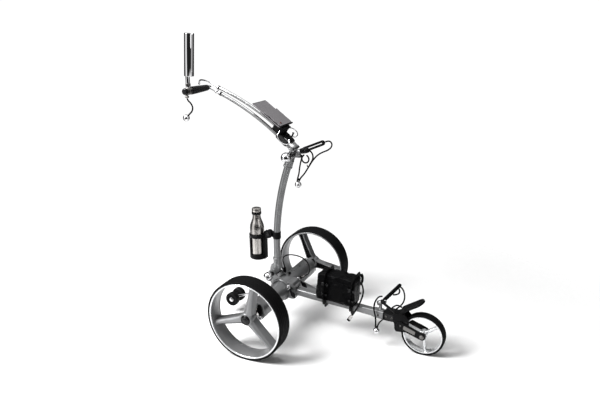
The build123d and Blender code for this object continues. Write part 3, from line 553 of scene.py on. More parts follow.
# hook, knots and crimps on the elastic cords
hook = smooth_path([(127, -6, 704), (124, -5, 697), (120, -4, 692), (115, -4, 694),
    (114, -5, 700)], 6)
ENDS = {
    "upper_hook": add("cord_hook", [sweep(hook, circle(2.6, 12), scale=lambda t: 1.25 - 0.55 * t)],
        "upper_cradle", "rubber"),
    "upper_c": add("upper_knot", [brick((82, -15.6, 641), (10, 7, 9), 2.4)], "upper_cradle",
        "braid"),
    "lower_d": add("lower_knot", [brick((459.5, 54, 194), (7, 6.5, 6.5), 2.2)], "lower_cradle",
        "braid"),
    "lower_e": add("lower_crimp", [brick((515.5, -30, 192.5), (6.5, 6, 6.5), 2.2)], "lower_cradle",
        "braid"),
    "lower_b": add("ball_crimp", [brick((419, -29.2, 85), (9, 6, 7), 2.2)], "lower_cradle",
        "braid"),
}
for routes, where in ((UPPER, "upper"), (LOWER, "lower")):
    for name, route, length, end in routes:
        lay_cord(name, route, SHOCK_CORD, f"{where}_cradle", "braid", f"{where}_bungee", length,
            end, stiffness="limp", lay="hanging", with_pieces=[ENDS[name]] if name in ENDS else [])
lay_cord("handle_cord", [(-302, -176, 955.2), (-299.5, -176, 947), (-286, -176, 938),
    (-278, -176, 922), (-283, -176, 907), (-294, -176, 898), (-302, -176, 890.2)], SHOCK_CORD,
    "handle", "braid", "handle_bungee", 80, "object", stiffness="limp", lay="hanging")
CONTROL = [(-14, 34.5, 232.8), (-16, 34.5, 246), (-25, 36, 261), (-20, 37, 279), (0, 38, 291),
    (28, 41, 294), (55, 48, 288), (75, 59, 271), (82, 70, 248), (81, 80, 224), (76, 88, 203),
    (66, 90.5, 189.4), (54, 87, 183)]
LEAD = [(335.4, 22, 232), (341, 21, 220), (345, 19, 206), (346, 14, 193), (346, 4, 181),
    (345, -9, 172), (343, -21, 162), (338, -30, 149), (331, -34, 134), (321, -36, 118)]


def plug(name, route, length, radius, finish, node, body="chassis"):
    """Round connector with a knurled ring and a tapered sleeve, in line with a route's end."""
    end = Vector(route[-1])
    along = (end - Vector(route[-2])).normalized()
    sleeve = lathe([(0, 0), (radius * 0.7, 0), (radius * 0.85, length * 0.3), (0, length * 0.3)],
        end, along, 32)
    shell = drum(end, along, radius, length * 0.28, length, 0.8, 0, 32)
    teeth = []
    _, side, up = frame_of(along)
    for t in (2 * pi * k / 18 for k in range(18)):
        outward = side * cos(t) + up * sin(t)
        matrix = Matrix((along, outward, side * -sin(t) + up * cos(t))).transposed()
        teeth.append(brick(end + along * length * 0.56 + outward * radius,
            (length * 0.3, 1.6, 1.4), 0.4, matrix))
    return add(name, [sleeve, shell, *teeth], body, finish, [node])


lead_plug = plug("lead_connector", LEAD, 30, 6.4, "steel", "battery_connector")
lead_end = Vector(LEAD[-1])
lead_way = (lead_end - Vector(LEAD[-2])).normalized()
lead_tip = add("lead_tip", [drum(lead_end, lead_way, 7.2, 21, 29.8, 1.0, 0, 32)], "chassis",
    "black")
control_tip = plug("control_connector", CONTROL, 17, 4.6, "gunmetal", "control_plug")
lay_cord("control_cable_line", CONTROL, 5.5, "chassis", "cable", "control_cable", 257, "connector",
    stiffness="medium", lay="loose", with_pieces=[control_tip])
lay_cord("battery_lead_line", LEAD, 7, "chassis", "cable", "battery_lead", 139, "connector",
    stiffness="medium", lay="hanging", with_pieces=[lead_plug, lead_tip])

bead("upper_ball", (80, -16, 620.1), UP, "upper_cradle", "upper_bungee_ball")
bead("lower_ball", (419, -29, 67.7), UP, "lower_cradle", "lower_bungee_ball")
bead("handle_ball", (-311.7, -176, 880.8), (0.72, 0, 0.70), "handle", "handle_bungee_ball")

# ---- wheels -------------------------------------------------------------------------------
def hub_space(x, y, z, side):
    """Maps (a, b, t): a forward, b up, t outward from a wheel's middle plane."""
    return lambda a, b, t: Vector((x + a, side * (y + t), z + b))


def treaded(name, body, node, centre, radius, seat, width, grooves, steps, depth):
    """Tyre with rounded shoulders, running grooves and slanted sipes."""
    half = width / 2
    flat = half - 3.2
    across = [(seat, -half + 1.6), (seat + 2.4, -half + 0.25), (radius - 3.4, -half),
        (radius - 1.5, -half + 0.6), (radius - 0.35, -half + 2.0)]
    fine = 26
    for k in range(fine + 1):
        across.append((radius, -flat + 2 * flat * k / fine))
    across += [(r, -t) for r, t in reversed(across[:5])]
    bm = bmesh.new()
    rows = []
    for i in range(steps):
        angle = 2 * pi * i / steps
        ring = []
        for j, (r, t) in enumerate(across):
            if r >= radius - 0.01:
                slant = int(abs(t) / width * 16)
                sipe = (i + slant) % 6 == 0 and abs(t) > width * 0.05
                groove = any(abs(abs(t) - g * half) < flat / fine * 1.1 for g in grooves)
                r = r - (depth if groove or sipe else 0.0) - 0.25 * (t / half) ** 2
            ring.append(bm.verts.new(Vector(centre) + Vector((r * cos(angle), t, r * sin(angle)))))
        rows.append(ring)
    for i in range(steps):
        a, b = rows[i], rows[(i + 1) % steps]
        for j in range(len(across)):
            k = (j + 1) % len(across)
            bm.faces.new((a[j], a[k], b[k], b[j]))
    bmesh.ops.recalc_face_normals(bm, faces=bm.faces)
    return add(name, [bm], body, "tyre", [node], angle=28)


def spoke(space, angle, stations):
    """Bar from the hub to the rim lofted over (radius, section) rows; section is (s, t)."""
    c, s = cos(radians(angle)), sin(radians(angle))
    rings = []
    for radius, section in stations:
        rings.append([space(radius * c - q * s, radius * s + q * c, t) for q, t in section])
    return loft(rings)


def spoke_section(half, out, ridge=0.12):
    """Channel section: crowned ridge outside, hollow inside."""
    wall = 3.0
    return [(-half, -24), (-half, out - 9), (-half * 0.86, out - 6.2), (-half * 0.45, out - 2.4),
        (-half * ridge, out - 0.3), (half * ridge, out - 0.3), (half * 0.45, out - 2.4),
        (half * 0.86, out - 6.2), (half, out - 9), (half, -24), (half - wall, -24),
        (half - wall, out - 13), (-half + wall, out - 13), (-half + wall, -24)]


def band(s0, s1, t0, t1):
    """Rectangular spoke section."""
    return [(s0, t0), (s1, t0), (s1, t1), (s0, t1)]


def infill_half(r):
    """Half width of the black infill inside a spoke at radius r."""
    return 12.0 - 5.6 * (r - 29) / 110


def rear_wheel(word, side, angles):
    """Tyre, rim with hollow spokes and black ribbed infill, hub pin and cap."""
    body = f"rear_wheel_{word}"
    space = hub_space(0, WHEEL_Y, 160, side)
    hub_at, out = (0, side * WHEEL_Y, 160), (0, side, 0)
    treaded(f"tyre_{word}", body, f"rear_tyre_{word}", hub_at, 159.9, 151.0, 69.4,
        (0.0, 0.38, 0.72), 360, 0.9)
    lip = lathe([(151.2, 33.6), (150.6, 34.2), (148.4, 34.3), (146.2, 33.6), (145.2, 32.2),
        (145.4, 30.6), (146.6, 30.2), (148.5, 30.4), (151.2, 31.0)], hub_at, out, 128)
    back = lathe([(151.2, -31.0), (148.5, -30.4), (146.6, -30.2), (145.4, -30.6), (145.2, -32.2),
        (146.2, -33.6), (148.4, -34.1), (150.6, -34.0), (151.2, -33.4)], hub_at, out, 128)
    add(f"rim_lips_{word}", [lip], body, "lip", angle=50)
    barrel = lathe([(151.1, 31), (146.8, 30.4), (146.0, 29.0), (145.4, 24), (143.4, 17),
        (142.6, 8), (142.6, -14), (143.8, -22), (145.8, -28), (146.4, -30.4), (151.1, -31)],
        hub_at, out, 128)
    hub = lathe([(8.4, -27.4), (21, -27.4), (24.4, -26.2), (25.6, -23.6), (26.2, -8), (27.4, 2),
        (27.2, 8), (25.4, 13.4), (22.6, 17.2), (20.8, 18.0), (8.4, 18.0)], hub_at, out, 64)
    spokes = []
    infill = []
    for angle in angles:
        stations = []
        for u in (k / 8 for k in range(9)):
            half = 15.5 - 6.2 * u + 2.2 * max(0, u - 0.82) / 0.18 + 2.5 * max(0, 0.15 - u) / 0.15
            stations.append((17 + 127 * u, spoke_section(half, 18 + 3.5 * u)))
        spokes.append(spoke(space, angle, stations))
        infill.append(spoke(space, angle,
            [(r, band(-half, half, -17, -14)) for r, half in ((29, 12.0), (139, 6.4))]))
        for k in range(12):
            r = 34 + 9.2 * k
            half = infill_half(r)
            cross = band(-half, half, -22.6, -16)
            infill.append(spoke(space, angle, [(r - 1.3, cross), (r + 1.3, cross)]))
        for q in (-0.98, 0.98):
            infill.append(spoke(space, angle,
                [(r, band(infill_half(r) * q - 1.2, infill_half(r) * q + 1.2, -23, -15))
                for r in (30, 138)]))
    add(f"rim_{word}", [barrel, back, hub, *spokes], body, "alloy", [f"rear_rim_{word}"], angle=33)
    add(f"spoke_infill_{word}", infill, body, "black", bevel=0.4)
    cap = lathe([(0, 24.9), (5, 24.7), (9.4, 24.1), (9.9, 23.5), (10.5, 23.9), (13.4, 23.1),
        (16.4, 21.8), (16.9, 21.1), (17.6, 21.7), (19.0, 21.2), (19.9, 19.8), (20.0, 18.25),
        (0, 18.25)], hub_at, out, 56)
    add(f"hub_cap_{word}", [cap], body, "gloss", [f"hub_axle_{word}"], angle=50)
    pin = [drum(hub_at, out, 8.0, -89, -26.5, 0.8), drum(hub_at, out, 13.5, -45, -29, 1.5, 8.0),
        drum(hub_at, out, 10.5, -52, -46, 1.0, 8.0)]
    add(f"hub_pin_{word}", pin, body, "steel", angle=50)


rear_wheel("right", -1, (77, -43, -163))
rear_wheel("left", 1, (112, -8, -128))

treaded("front_tyre_rubber", "front_wheel", "front_tyre", FRONT_HUB, 83.5, 74.8, 34.2, (0.0, 0.5),
    240, 0.8)
front = hub_space(*FRONT_HUB, -1)
front_parts = [lathe([(75.1, 15.9), (73.6, 16.4), (71.6, 16.1), (70.6, 14.6), (70.4, 11),
    (69.4, 6), (69.2, -6), (70.4, -11), (70.6, -14.6), (71.6, -16.1), (73.6, -16.4),
    (75.1, -15.9)], FRONT_HUB, NEARWARD, 96),
    lathe([(11.1, 14.6), (14.2, 14.6), (15.2, 13.4), (15.6, 4), (15.6, -4), (15.2, -13.4),
    (14.2, -14.6), (11.1, -14.6)], FRONT_HUB, NEARWARD, 48)]
for angle in (38, -82, 158):
    stations = []
    for u in (k / 6 for k in range(7)):
        half = 6.4 - 2.6 * u + 1.6 * max(0, u - 0.8) / 0.2
        stations.append((12 + 59 * u, [(-half, -5), (-half * 0.5, -7.5), (half * 0.5, -7.5),
            (half, -5), (half, 5), (half * 0.5, 7.5), (-half * 0.5, 7.5), (-half, 5)]))
    front_parts.append(spoke(front, angle, stations))
add("front_rim_cast", front_parts, "front_wheel", "lip", ["front_rim"], angle=35)

# anti-tip wheels: moulded discs with bright hub rings
for word, side in (("right", -1), ("left", 1)):
    centre = (-243, side * 26, 65)
    disc = lathe([(4.2, -11.8), (10.2, -11.8), (10.6, -8.6), (20.4, -8.2), (21.6, -11.4),
        (26.4, -11.8), (29.2, -9.8), (29.9, -6), (29.9, 6), (29.2, 9.8), (26.4, 11.8),
        (21.6, 11.4), (20.4, 8.2), (10.6, 8.6), (10.2, 11.8), (4.2, 11.8)], centre, (0, side, 0),
        64)
    ribs = []
    face = (centre[0], side * 35.4, centre[2])
    for angle in range(0, 360, 60):
        ribs.append(brick(around(face, 15.4, angle), (10.5, 2.4, 2.4), 0.5, tip(-angle)))
    add(f"anti_tip_disc_{word}", [disc, *ribs], f"anti_tip_wheel_{word}", "black",
        [f"anti_tip_wheel_{word}"], angle=40)
    add(f"anti_tip_cap_{word}", [drum(centre, (0, side, 0), 9.6, 8.8, 11.9, 1.0, 4.3)],
        f"anti_tip_wheel_{word}", "chrome")
start, end = Vector((-42, 0, 139.5)), Vector((-243, 0, 65))
stay = [sweep([start, start.lerp(end, 0.5), end], circle(5.5, 24)),
    drum(end, ACROSS, 9, -13.4, 13.4, 1.2), drum(end, ACROSS, 4, -41, 41, 0.6)]
for side in (-1, 1):
    stay.append(lathe([(0, 42.3), (4, 42), (6.8, 40.6), (7.4, 38.7), (0, 38.7)], end, (0, side, 0),
        32))
add("anti_tip_stay", stay, "chassis", "chrome", ["anti_tip_rod"], angle=45)


# ---- axle housing, centre bracket, beams ------------------------------------------------------
housing = [drum(AXLE, ACROSS, 39.9, -226, 226, 0.6, 0, 96)]
for side in (-1, 1):
    housing.append(lathe([(16.2, 238), (22, 238), (22.6, 236.6), (30.6, 236.2), (31.4, 237.8),
        (36.6, 237.6), (39.2, 235.4), (40, 232.6), (40, 227.4), (39.2, 226.6), (16.2, 226.6)],
        AXLE, (0, side, 0), 96))
    for angle in (45, 135, 225, 315):
        housing.append(drum(around((0, side * 236.4, 160), 27, angle), (0, side, 0), 3.0, -1, 1.2,
            0.5, 0, 16))
add("housing_tube", housing, "chassis", "silver", ["axle_housing"], angle=40)

cast = [drum(AXLE, ACROSS, 46.9, -35.9, 35.9, 2.5, 40.1, 96)]
for side in (-1, 1):
    cast.append(drum((0, side * 29.5, 160), ACROSS, 47.0, -3.0, 3.0, 1.2, 40.1, 96))
for side in (-1, 1):
    cast += [slab([(36, 171.6), (61.8, 171.6), (61.8, 186), (54, 197.8), (24, 197.8), (16, 203)],
        side, 14.6, 29.8, 3), slab([(34, 130), (46, 128), (61.8, 130), (61.8, 172), (40, 186)],
        side, 14.6, 29.8, 3)]
cast += [prism([(30, 184), (61.8, 171.4), (61.8, 186), (54, 197.8), (24, 197.8)], -16, 16, 3),
    prism([(36, 128), (61.8, 128), (61.8, 137.6), (38, 139.4)], -16, 16, 2)]
for side in (-1, 1):
    outline = [(-59, 224)]
    for k in range(13):
        outline.append(around(FOLD, 17, 180 - 15 * k).xz)
    outline += [(-16, 216), (12, 203), (20, 188), (-20, 178), (-48, 178), (-55, 196)]
    cast += [slab(outline, side, 20.1, 26.9, 2, 3),
        drum((-42, side * 27, 224), (0, side, 0), 13.5, -0.4, 0.3, 0.3, 5.2)]
cast.append(lathe([(5.7, -4), (10.5, -4), (12, 0), (12, 30), (10.4, 33), (5.7, 33)],
    (-33, 0, 142.8), (-0.937, 0, -0.348), 48))
add("centre_casting", cast, "chassis", "silver", ["centre_bracket"], bevel=0.9, angle=42)

boots = [lathe([(2.8, 25), (5.6, 24.6), (6.6, 22), (5.8, 20), (6.8, 17.4), (6.0, 15), (7.0, 12),
    (6.2, 9), (7.0, 6), (7.0, 0), (2.8, 0)], (-14, 34.5, 207.2), UP, 32),
    lathe([(0, 7.6), (3.6, 7.6), (5.4, 6.2), (5.8, 3), (5.8, 0), (0, 0)], (10, 33.6, 207.2), UP,
    32)]
add("cable_boots", boots, "chassis", "rubber", ["cable_sockets"], angle=40)
into = (Vector(CONTROL[-1]) - Vector(CONTROL[-2])).normalized()
add("control_gland", [drum(Vector(CONTROL[-1]) + into * 17, into, 7.5, -1.5, 7, 1.0)], "chassis",
    "black")

BEAM_DROP = 3.53               # degrees
SLOPE = radians(BEAM_DROP)
ALONG = Vector((cos(SLOPE), 0, -sin(SLOPE)))
OVER = Vector((sin(SLOPE), 0, cos(SLOPE)))
BEAM_FOOT = Vector((0, 0, 157))


def on_beam(u, y=0.0, h=0.0):
    """Point at u along the beam, y across and h above its centreline."""
    return BEAM_FOOT + ALONG * u + OVER * h + Vector((0, y, 0))


def beam_piece(u0, u1, width, height, edge):
    """Bar along the beam with closed ends."""
    return sweep([on_beam(u0), on_beam((u0 + u1) / 2), on_beam(u1)],
        box_section(width, height, edge), up=OVER)


add("beam_tube", [beam_piece(41.5, 400, 28, 28, 6)], "chassis", "silver", ["main_beam"], bevel=0.5,
    angle=60)
sleeve = [beam_piece(400.2, 440, 33, 33, 6.5), beam_piece(436, 482, 23, 23, 3),
    beam_piece(394, 401.5, 30.5, 30.5, 5)]
add("beam_sleeve", sleeve, "chassis", "silver", ["front_beam"], bevel=0.8, angle=60)


def screw(x, z, y, side, radius=4.0, height=2.5):
    """Button head with a socket, on a side face."""
    return lathe([(radius * 0.5, height * 0.35), (radius * 0.55, height), (radius * 0.75, height),
        (radius * 0.96, height * 0.6), (radius, 0), (0, 0), (0, height * 0.35)], (x, side * y, z),
        (0, side, 0), 24, loop=False)


screws = []
for x, z, y in ((455, 136, 24.2), (478, 135, 24.2), (514, 112, 29.6), (420, 131, 16.7),
        (30, 170, 30.2)):
    for side in (-1, 1):
        screws.append(screw(x, z, y, side))
add("screw_heads", screws, "chassis", "gunmetal", ["chassis_screws"], angle=35)

# thumb levers on the cross shaft
lever_parts = []
ring_parts = [drum((43, 0, 185), ACROSS, 5, -49, 49, 0.8, 0, 32)]
for side, angle in ((-1, -54), (1, -38)):
    c, s = cos(radians(angle)), sin(radians(angle))

    def at(d, n, c=c, s=s):
        return 43 + d * c - n * s, 185 + d * s + n * c

    pad = [at(14, 3.2), at(24, 4.2), at(31, 8.6), at(38, 8.8), at(53.5, 0), at(38, -8.8),
        at(31, -8.6), at(24, -4.2), at(14, -3.2)]
    crown = [at(30, 5.2), at(38, 5.6), at(47, 0), at(38, -5.6), at(30, -5.2)]
    lever_parts += [slab(pad, side, 42, 48, 2.6), slab(crown, side, 41.1, 48.9, 2.2),
        slab(capsule(at(4, 0), at(20, 0), 3.4), side, 42.6, 47.4)]
    for radius, t0, t1, edge in ((8.9, -4, 4, 1.4), (6.2, -4.6, 4.4, 0.8)):
        ring_parts.append(drum((43, side * 45, 185), (0, side, 0), radius, t0, t1, edge, 5, 40))
add("thumb_levers", lever_parts, "clamp_levers", "black", ["clamp_levers"], bevel=0.8)
add("lever_rings", ring_parts, "clamp_levers", "chrome", angle=45)

for word, side in (("right", -1), ("left", 1)):
    y0, y1 = sorted((side * 240.3, side * 247.7))
    paddle = [(14, 190), (17, 196), (24, 196), (30, 183), (31.6, 168), (28, 152), (21, 150),
        (12, 166), (10, 180)]
    inner = [(15.6, 187), (18, 192), (22.6, 192), (27, 181), (28.4, 168), (25.6, 155), (21.4, 154),
        (15, 167), (13.4, 180)]
    parts = [prism(paddle, y0, y1, 4), prism(inner, y0 - 0.1, y1 + (0.7 if side > 0 else 0), 3)]
    if side < 0:
        parts.append(prism(inner, y0 - 0.7, y1, 3))
    parts.append(drum((19, side * 240, 188), (0, side, 0), 4, -1.6, 2, 0.5))
    add(f"release_paddle_{word}", parts, f"hub_lever_{word}", "black", [f"hub_lever_{word}"],
        bevel=0.9)
    add(f"release_ball_{word}", [ball((25, side * 248, 143), 8.9, (0, side, 0.3), 32)],
        f"hub_lever_{word}", "chrome")


# ---- front bracket, fork, foot plate, post ----------------------------------------------------
block = []
for side in (-1, 1):
    block.append(slab([(441, 118), (441, 149), (449, 153.5), (490, 151), (503, 157), (520, 161),
        (533, 153), (545, 138), (545, 98), (536, 86), (496, 80), (489, 90), (487, 118)], side,
        19.6, 23.9, 5))
block += [prism([(441.5, 118.5), (441.5, 124.4), (486, 121.6), (486.5, 118.5)], -20, 20, 1),
    prism([(441.5, 143), (441.5, 148.6), (449.4, 153), (490, 150.6), (503, 156.6), (519.8, 160.4),
    (524, 150), (507, 141), (486, 141)], -20, 20, 2),
    prism([(484, 112), (484, 145), (508, 148), (512, 140), (505, 116), (496, 106)], -20, 20, 3)]
add("bracket_shell", block, "chassis", "black", ["front_bracket"], bevel=1.4, angle=40)
trims = []
for side in (-1, 1):
    trims.append(slab([(447, 123), (447, 147), (483, 145.5), (483, 121.5)], side, 23.8, 24.0, 4))
    for z in (100, 113, 126):
        trims.append(slab(capsule((520, z), (536, z), 2.4), side, 23.8, 24.0))
add("bracket_trims", trims, "chassis", "gloss", bevel=0.3)

fork_parts = []
plates = []
for side in (-1, 1):
    fork_parts.append(slab(capsule((514, 112), FRONT_HUB[::2], 14.9, 14), side, 24.3, 29.3))
    plates.append(slab([(527.5, 115.4), (573.6, 99.6), (570.0, 84.6), (524.6, 99.8)], side, 28.9,
        30.0, 4))
add("fork_arms", fork_parts, "chassis", "black", ["fork"], bevel=1.2, angle=40)
add("fork_plates", plates, "chassis", "plate", bevel=0.3)
axle_parts = [drum(FRONT_HUB, ACROSS, 6, -33, 33, 0.5)]
for side in (-1, 1):
    out = (0, side, 0)
    hexagon = [around(FRONT_HUB, 8.6, 60 * k + 10).xz for k in range(6)]
    axle_parts += [drum(FRONT_HUB, out, 9, 15.4, 24.0, 1.2), slab(hexagon, side, 30.2, 33.6),
        drum(FRONT_HUB, out, 9, 29.6, 30.4, 0.3),
        lathe([(0, 35), (3, 34.8), (5, 33.8), (5.4, 33), (0, 33)], FRONT_HUB, out, 28)]
add("front_axle_nuts", axle_parts, "chassis", "gunmetal", ["front_axle"], bevel=0.4, angle=40)

# foot plate: rounded paddle with a raised rim and pads
FOOT_RISE = 33.5               # degrees
TILT = radians(FOOT_RISE)
FOOT = Vector((511, 0, 161))
UPWARD = Vector((cos(TILT), 0, sin(TILT)))
SQUARE = Vector((-sin(TILT), 0, cos(TILT)))


def on_foot(u, y, h):
    """Point on the foot plate."""
    return FOOT + UPWARD * u + SQUARE * h + Vector((0, y, 0))


def paddle_outline(inset, u0=-1.0, u1=102.0):
    """Half-round ended outline (u, y) of the foot plate."""
    half = 29 - inset
    points = [(u0 + inset, -half)]
    for k in range(17):
        t = radians(-90 + 180 * k / 16)
        points.append((u1 - inset - 26 + (26 - inset * 0.2) * cos(t), half * sin(t)))
    points.append((u0 + inset, half))
    return points


layers = [(1.6, -2.0), (0.3, -1.0), (0.0, 1.0), (0.0, 6.0), (0.5, 7.4), (1.6, 8.0), (3.4, 7.9),
    (4.4, 7.0), (5.2, 5.8), (12, 5.6)]
rings = [[on_foot(u, y, h) for u, y in paddle_outline(i)] for i, h in layers]
foot_parts = [loft(rings), brick(on_foot(3, 0, 0), (12, 44, 9), 3, tip(-FOOT_RISE))]
for k in range(6):
    foot_parts.append(brick(on_foot(20 + 11 * k, 0, 5.9), (3.2, 40, 1.6), 0.7, tip(-FOOT_RISE)))
add("foot_paddle", foot_parts, "chassis", "rubber", ["bag_foot"], bevel=0.8, angle=42)

POST_AXIS = Vector((cos(radians(26)), 0, sin(radians(26))))
LOW_ROOT = Vector((429.3, 0, 181.3))
post = [lathe([(0, 176), (5.2, 176), (6, 174.6), (6, 153), (8.4, 151), (8.6, 149.6), (0, 149.6)],
    (424, 0, 0), UP, 32), drum(LOW_ROOT, POST_AXIS, 9, -18.8, -1.2, 1.4, 3.1, 40),
    sweep([on_beam(410.5, 0, 18.2), on_beam(424, 0, 18.2), on_beam(437.5, 0, 18.2)],
    box_section(20, 2.8, 1.2), up=OVER)]
for u in (414, 434):
    post.append(drum(on_beam(u, 0, 19.4), OVER, 2.6, 0, 0.35, 0.2, 0, 16))
add("post_bright", post, "chassis", "silver", ["support_post"], bevel=0.4, angle=50)


# ---- cradles --------------------------------------------------------------------------------
def cradle_space(origin, rise, roll):
    """Maps a cradle's own (forward, across, up) to the trolley's frame."""
    turn = tip(-rise) @ Matrix.Rotation(radians(roll), 3, "X")
    return lambda a, b, c: Vector(origin) + turn @ Vector((a, b, c)), turn


ARM_SPLAY = radians(48)        # of each arm from the cradle's own forward line
ARM_C, ARM_S = cos(ARM_SPLAY), sin(ARM_SPLAY)


def slotted_arm(space, side, length, height, width, start, bar):
    """Closed slotted arm from stadium outlines, rounded over its thickness."""
    c, s = ARM_C, side * ARM_S

    def stadium(inset):
        r = height / 2 - inset
        x0, x1 = start + height / 2, start + length - height / 2
        out = []
        for centre, first in ((x1, -90), (x0, 90)):
            for k in range(11):
                t = radians(first + 18 * k)
                out.append((centre + r * cos(t), r * sin(t)))
        return out

    def ring(inset, w):
        return [space(a * c - w * s, a * s + w * c, h) for a, h in stadium(inset)]

    half = width / 2
    e = min(bar * 0.42, half * 0.8)
    steps = [(e, -half), (e * 0.3, -half + e * 0.3), (0, -half + e), (0, half - e),
        (e * 0.3, half - e * 0.3), (e, half), (bar - e, half), (bar - e * 0.3, half - e * 0.3),
        (bar, half - e), (bar, -half + e), (bar - e * 0.3, -half + e * 0.3), (bar - e, -half)]
    return loft([ring(i, w) for i, w in steps], loop=True)


HIGH_ROOT = Vector((86.2, 0, 750.7))
CRADLES = [
    ("lower_cradle", cradle_space(LOW_ROOT, 26, 19.5), 15.0, 8.0, 6.1),
    ("upper_cradle", cradle_space(HIGH_ROOT, 21, 0), 21.0, 14.8, 8.8),
]
for name, (space, turned), height, width, bar in CRADLES:
    axis = space(1, 0, 0) - space(0, 0, 0)
    parts = [drum(space(7.5, 0, 0), axis, 9.9, -7.4, 7.4, 1.6, 0, 40)]
    for side in (-1, 1):
        parts.append(slotted_arm(space, side, 98, height, width, 7, bar))
        blocks = [(17, 0, (20, width * 0.82, height * 0.62), 1.6),
            (98.5, 0, (9, width * 0.8, height * 0.56), 1.6)]
        if name == "upper_cradle":
            blocks += [(d, h, (3.0, 15.0, 7.0), 1.2) for d in range(30, 79, 8)
                for h in (-6.8, 6.8)]
        matrix = turned @ Matrix.Rotation(side * ARM_SPLAY, 3, "Z")
        for d, h, size, edge in blocks:
            parts.append(brick(space(d * ARM_C, d * side * ARM_S, h), size, edge, matrix))
    pieces = add(f"{name}_arms", parts, name, "rubber", [name], angle=40)
    bolt = [drum(space(0, 0, 0), axis, 3, -16, 0, 0.3),
        drum(space(0, 0, 0), axis, 6.4, 15, 17.4, 0.8, 0, 28)]
    add(f"{name}_bolt", bolt, name, "chrome", angle=45)


# ---- upright --------------------------------------------------------------------------------
BEND_Z, BEND_R = 345, 1030     # the upright is straight below, and bent to this radius above
TOP_Z = 707.3


def upright_point(z):
    """Point on the upright's centreline at height z."""
    s = max(0, z - BEND_Z) / BEND_R
    return Vector((-29 + BEND_R * (1 - sqrt(1 - s * s)), 0, z))


def upright_way(z):
    """Direction of the upright at height z."""
    return (upright_point(z + 1) - upright_point(z - 1)).normalized()


tube_path = [upright_point(z) for z in (238, 260, 300, BEND_Z)]
tube_path += [upright_point(BEND_Z + (TOP_Z - BEND_Z) * k / 24) for k in range(1, 25)]
add("upright_pipe", [sweep(tube_path, circle(14, 40), up=ACROSS)], "upright", "silver",
    ["upright_tube"])

foot_cast = [drum((-42, 0, 224), ACROSS, 16.9, -19.6, 19.6, 1.8, 5.2, 64),
    drum((-29, 0, 0), UP, 16.9, 243, 292, 1.6, 14.05, 64),
    drum((-29, 0, 0), UP, 18.6, 281, 289, 1.0, 14.05, 64), brick((-48, 0, 240), (16, 29, 32), 3),
    brick((-30, 0, 237), (26, 27, 12), 3)]
for side in (-1, 1):
    foot_cast += [slab([(-57.5, 226), (-56, 246), (-45.6, 262), (-14.6, 262), (-13, 244),
        (-25.6, 228)], side, 14.1, 15.4, 3), drum((-29, side * 14.5, 270), (0, side, 0), 5.0, 0,
        3.4, 1.0, 0, 28)]
add("upright_shoe", foot_cast, "upright", "silver", ["upright_foot"], bevel=0.8, angle=45)

top = upright_point(TOP_Z)
way = upright_way(TOP_Z)
HIGH_AXIS = Vector((cos(radians(21)), 0, sin(radians(21))))
head = [sweep([top - way * 28, top - way * 12, top + way * 5], circle(16.9, 40), up=ACROSS),
    drum(top - way * 24, way, 18.4, -3.4, 3.4, 1.0, 14, 56),
    drum(ELBOW, ACROSS, 14.9, -13.9, 13.9, 1.6, 4.2, 56),
    prism(capsule(top.xz, ELBOW[::2], 12.8), -12.9, 12.9),
    brick((69.5, 0, 730), (29, 13, 13.8), 3),
    prism([(66, 729), (84, 729), (84, 747.6), (69, 741.4)], -5.9, 5.9, 3),
    drum(HIGH_ROOT, HIGH_AXIS, 9, -18.8, -1.2, 1.4, 3.1, 40)]
for side in (-1, 1):
    head.append(drum(top - way * 12 + Vector((0, side * 14.8, 0)), (0, side, 0), 4.4, 0, 3.4, 0.9,
        0, 24))
add("upright_head", head, "upright", "silver", ["elbow_bracket"], bevel=0.7, angle=45)


def knob(name, hinge, y, end, bolt_r, collar, body):
    """Chrome ball knob with a black spacer and its bolt; body and CAD node have one name."""
    x, _, z = hinge
    parts = [ball((x, y, z), 19.8, NEARWARD, 64),
        drum((x, y, z), ACROSS, bolt_r, 14, end - y, 0.5),
        drum((x, y, z), ACROSS, 8.6, 17.2, 21.4, 0.8, bolt_r, 40)]
    add(name, parts, body, "chrome", [body], angle=50)
    y0, y1, r = collar
    ring = [drum((x, y0, z), ACROSS, r, 0.4, y1 - y0, 1.4, bolt_r, 40)]
    add(f"{name}_collar", ring, body, "gloss", angle=50)


knob("fold_knob", FOLD, -60, -20.4, 4.6, (-42, -27.3, 11), "lower_knob")
knob("elbow_ball", ELBOW, -47, -14.2, 3.6, (-29, -19.9, 9), "elbow_knob")
nut = [drum(ELBOW, ACROSS, 7.2, 19.9, 24.1, 0.8, 0, 6), drum(ELBOW, ACROSS, 3.6, 13, 20, 0.4)]
add("elbow_nut", nut, "upright", "chrome", angle=30)
add("fold_pin", [drum(FOLD, ACROSS, 4.7, -19.5, 27.2, 0.6)], "chassis", "steel")


# ---- bottle holder and bottle -----------------------------------------------------------------
def ratchet_teeth(y, first):
    """Ring of radial teeth on one face of the ratchet; first is in degrees."""
    face = (RATCHET[0], y, RATCHET[2])
    return [brick(around(face, 11.4, angle), (6.2, 4.2, 1.5), 0.4, tip(-angle))
        for angle in (first + 15 * k for k in range(24))]


strap = [drum((-28.3, 0, 389), UP, 16.5, -15, 15, 1.4, 14.1, 64)]
for h in (-9, 9):
    strap.append(drum((-28.3, 0, 389 + h), UP, 16.9, -1.6, 1.6, 0.6, 14.1, 64))
for h in (-8, 8):
    strap.append(drum((-46, 2, 389 + h), ACROSS, 4.2, -7, 13, 0.9, 0, 24))
strap += [brick((-53, 7, 389), (26, 9.6, 19.6), 2.4),
    drum(RATCHET, ACROSS, 16.1, 4.4, 11.9, 1.6, 4.2, 56)]
strap += ratchet_teeth(2.6, 0)
add("clamp_band", strap, "upright", "black", ["bottle_clamp"], bevel=0.5, angle=45)


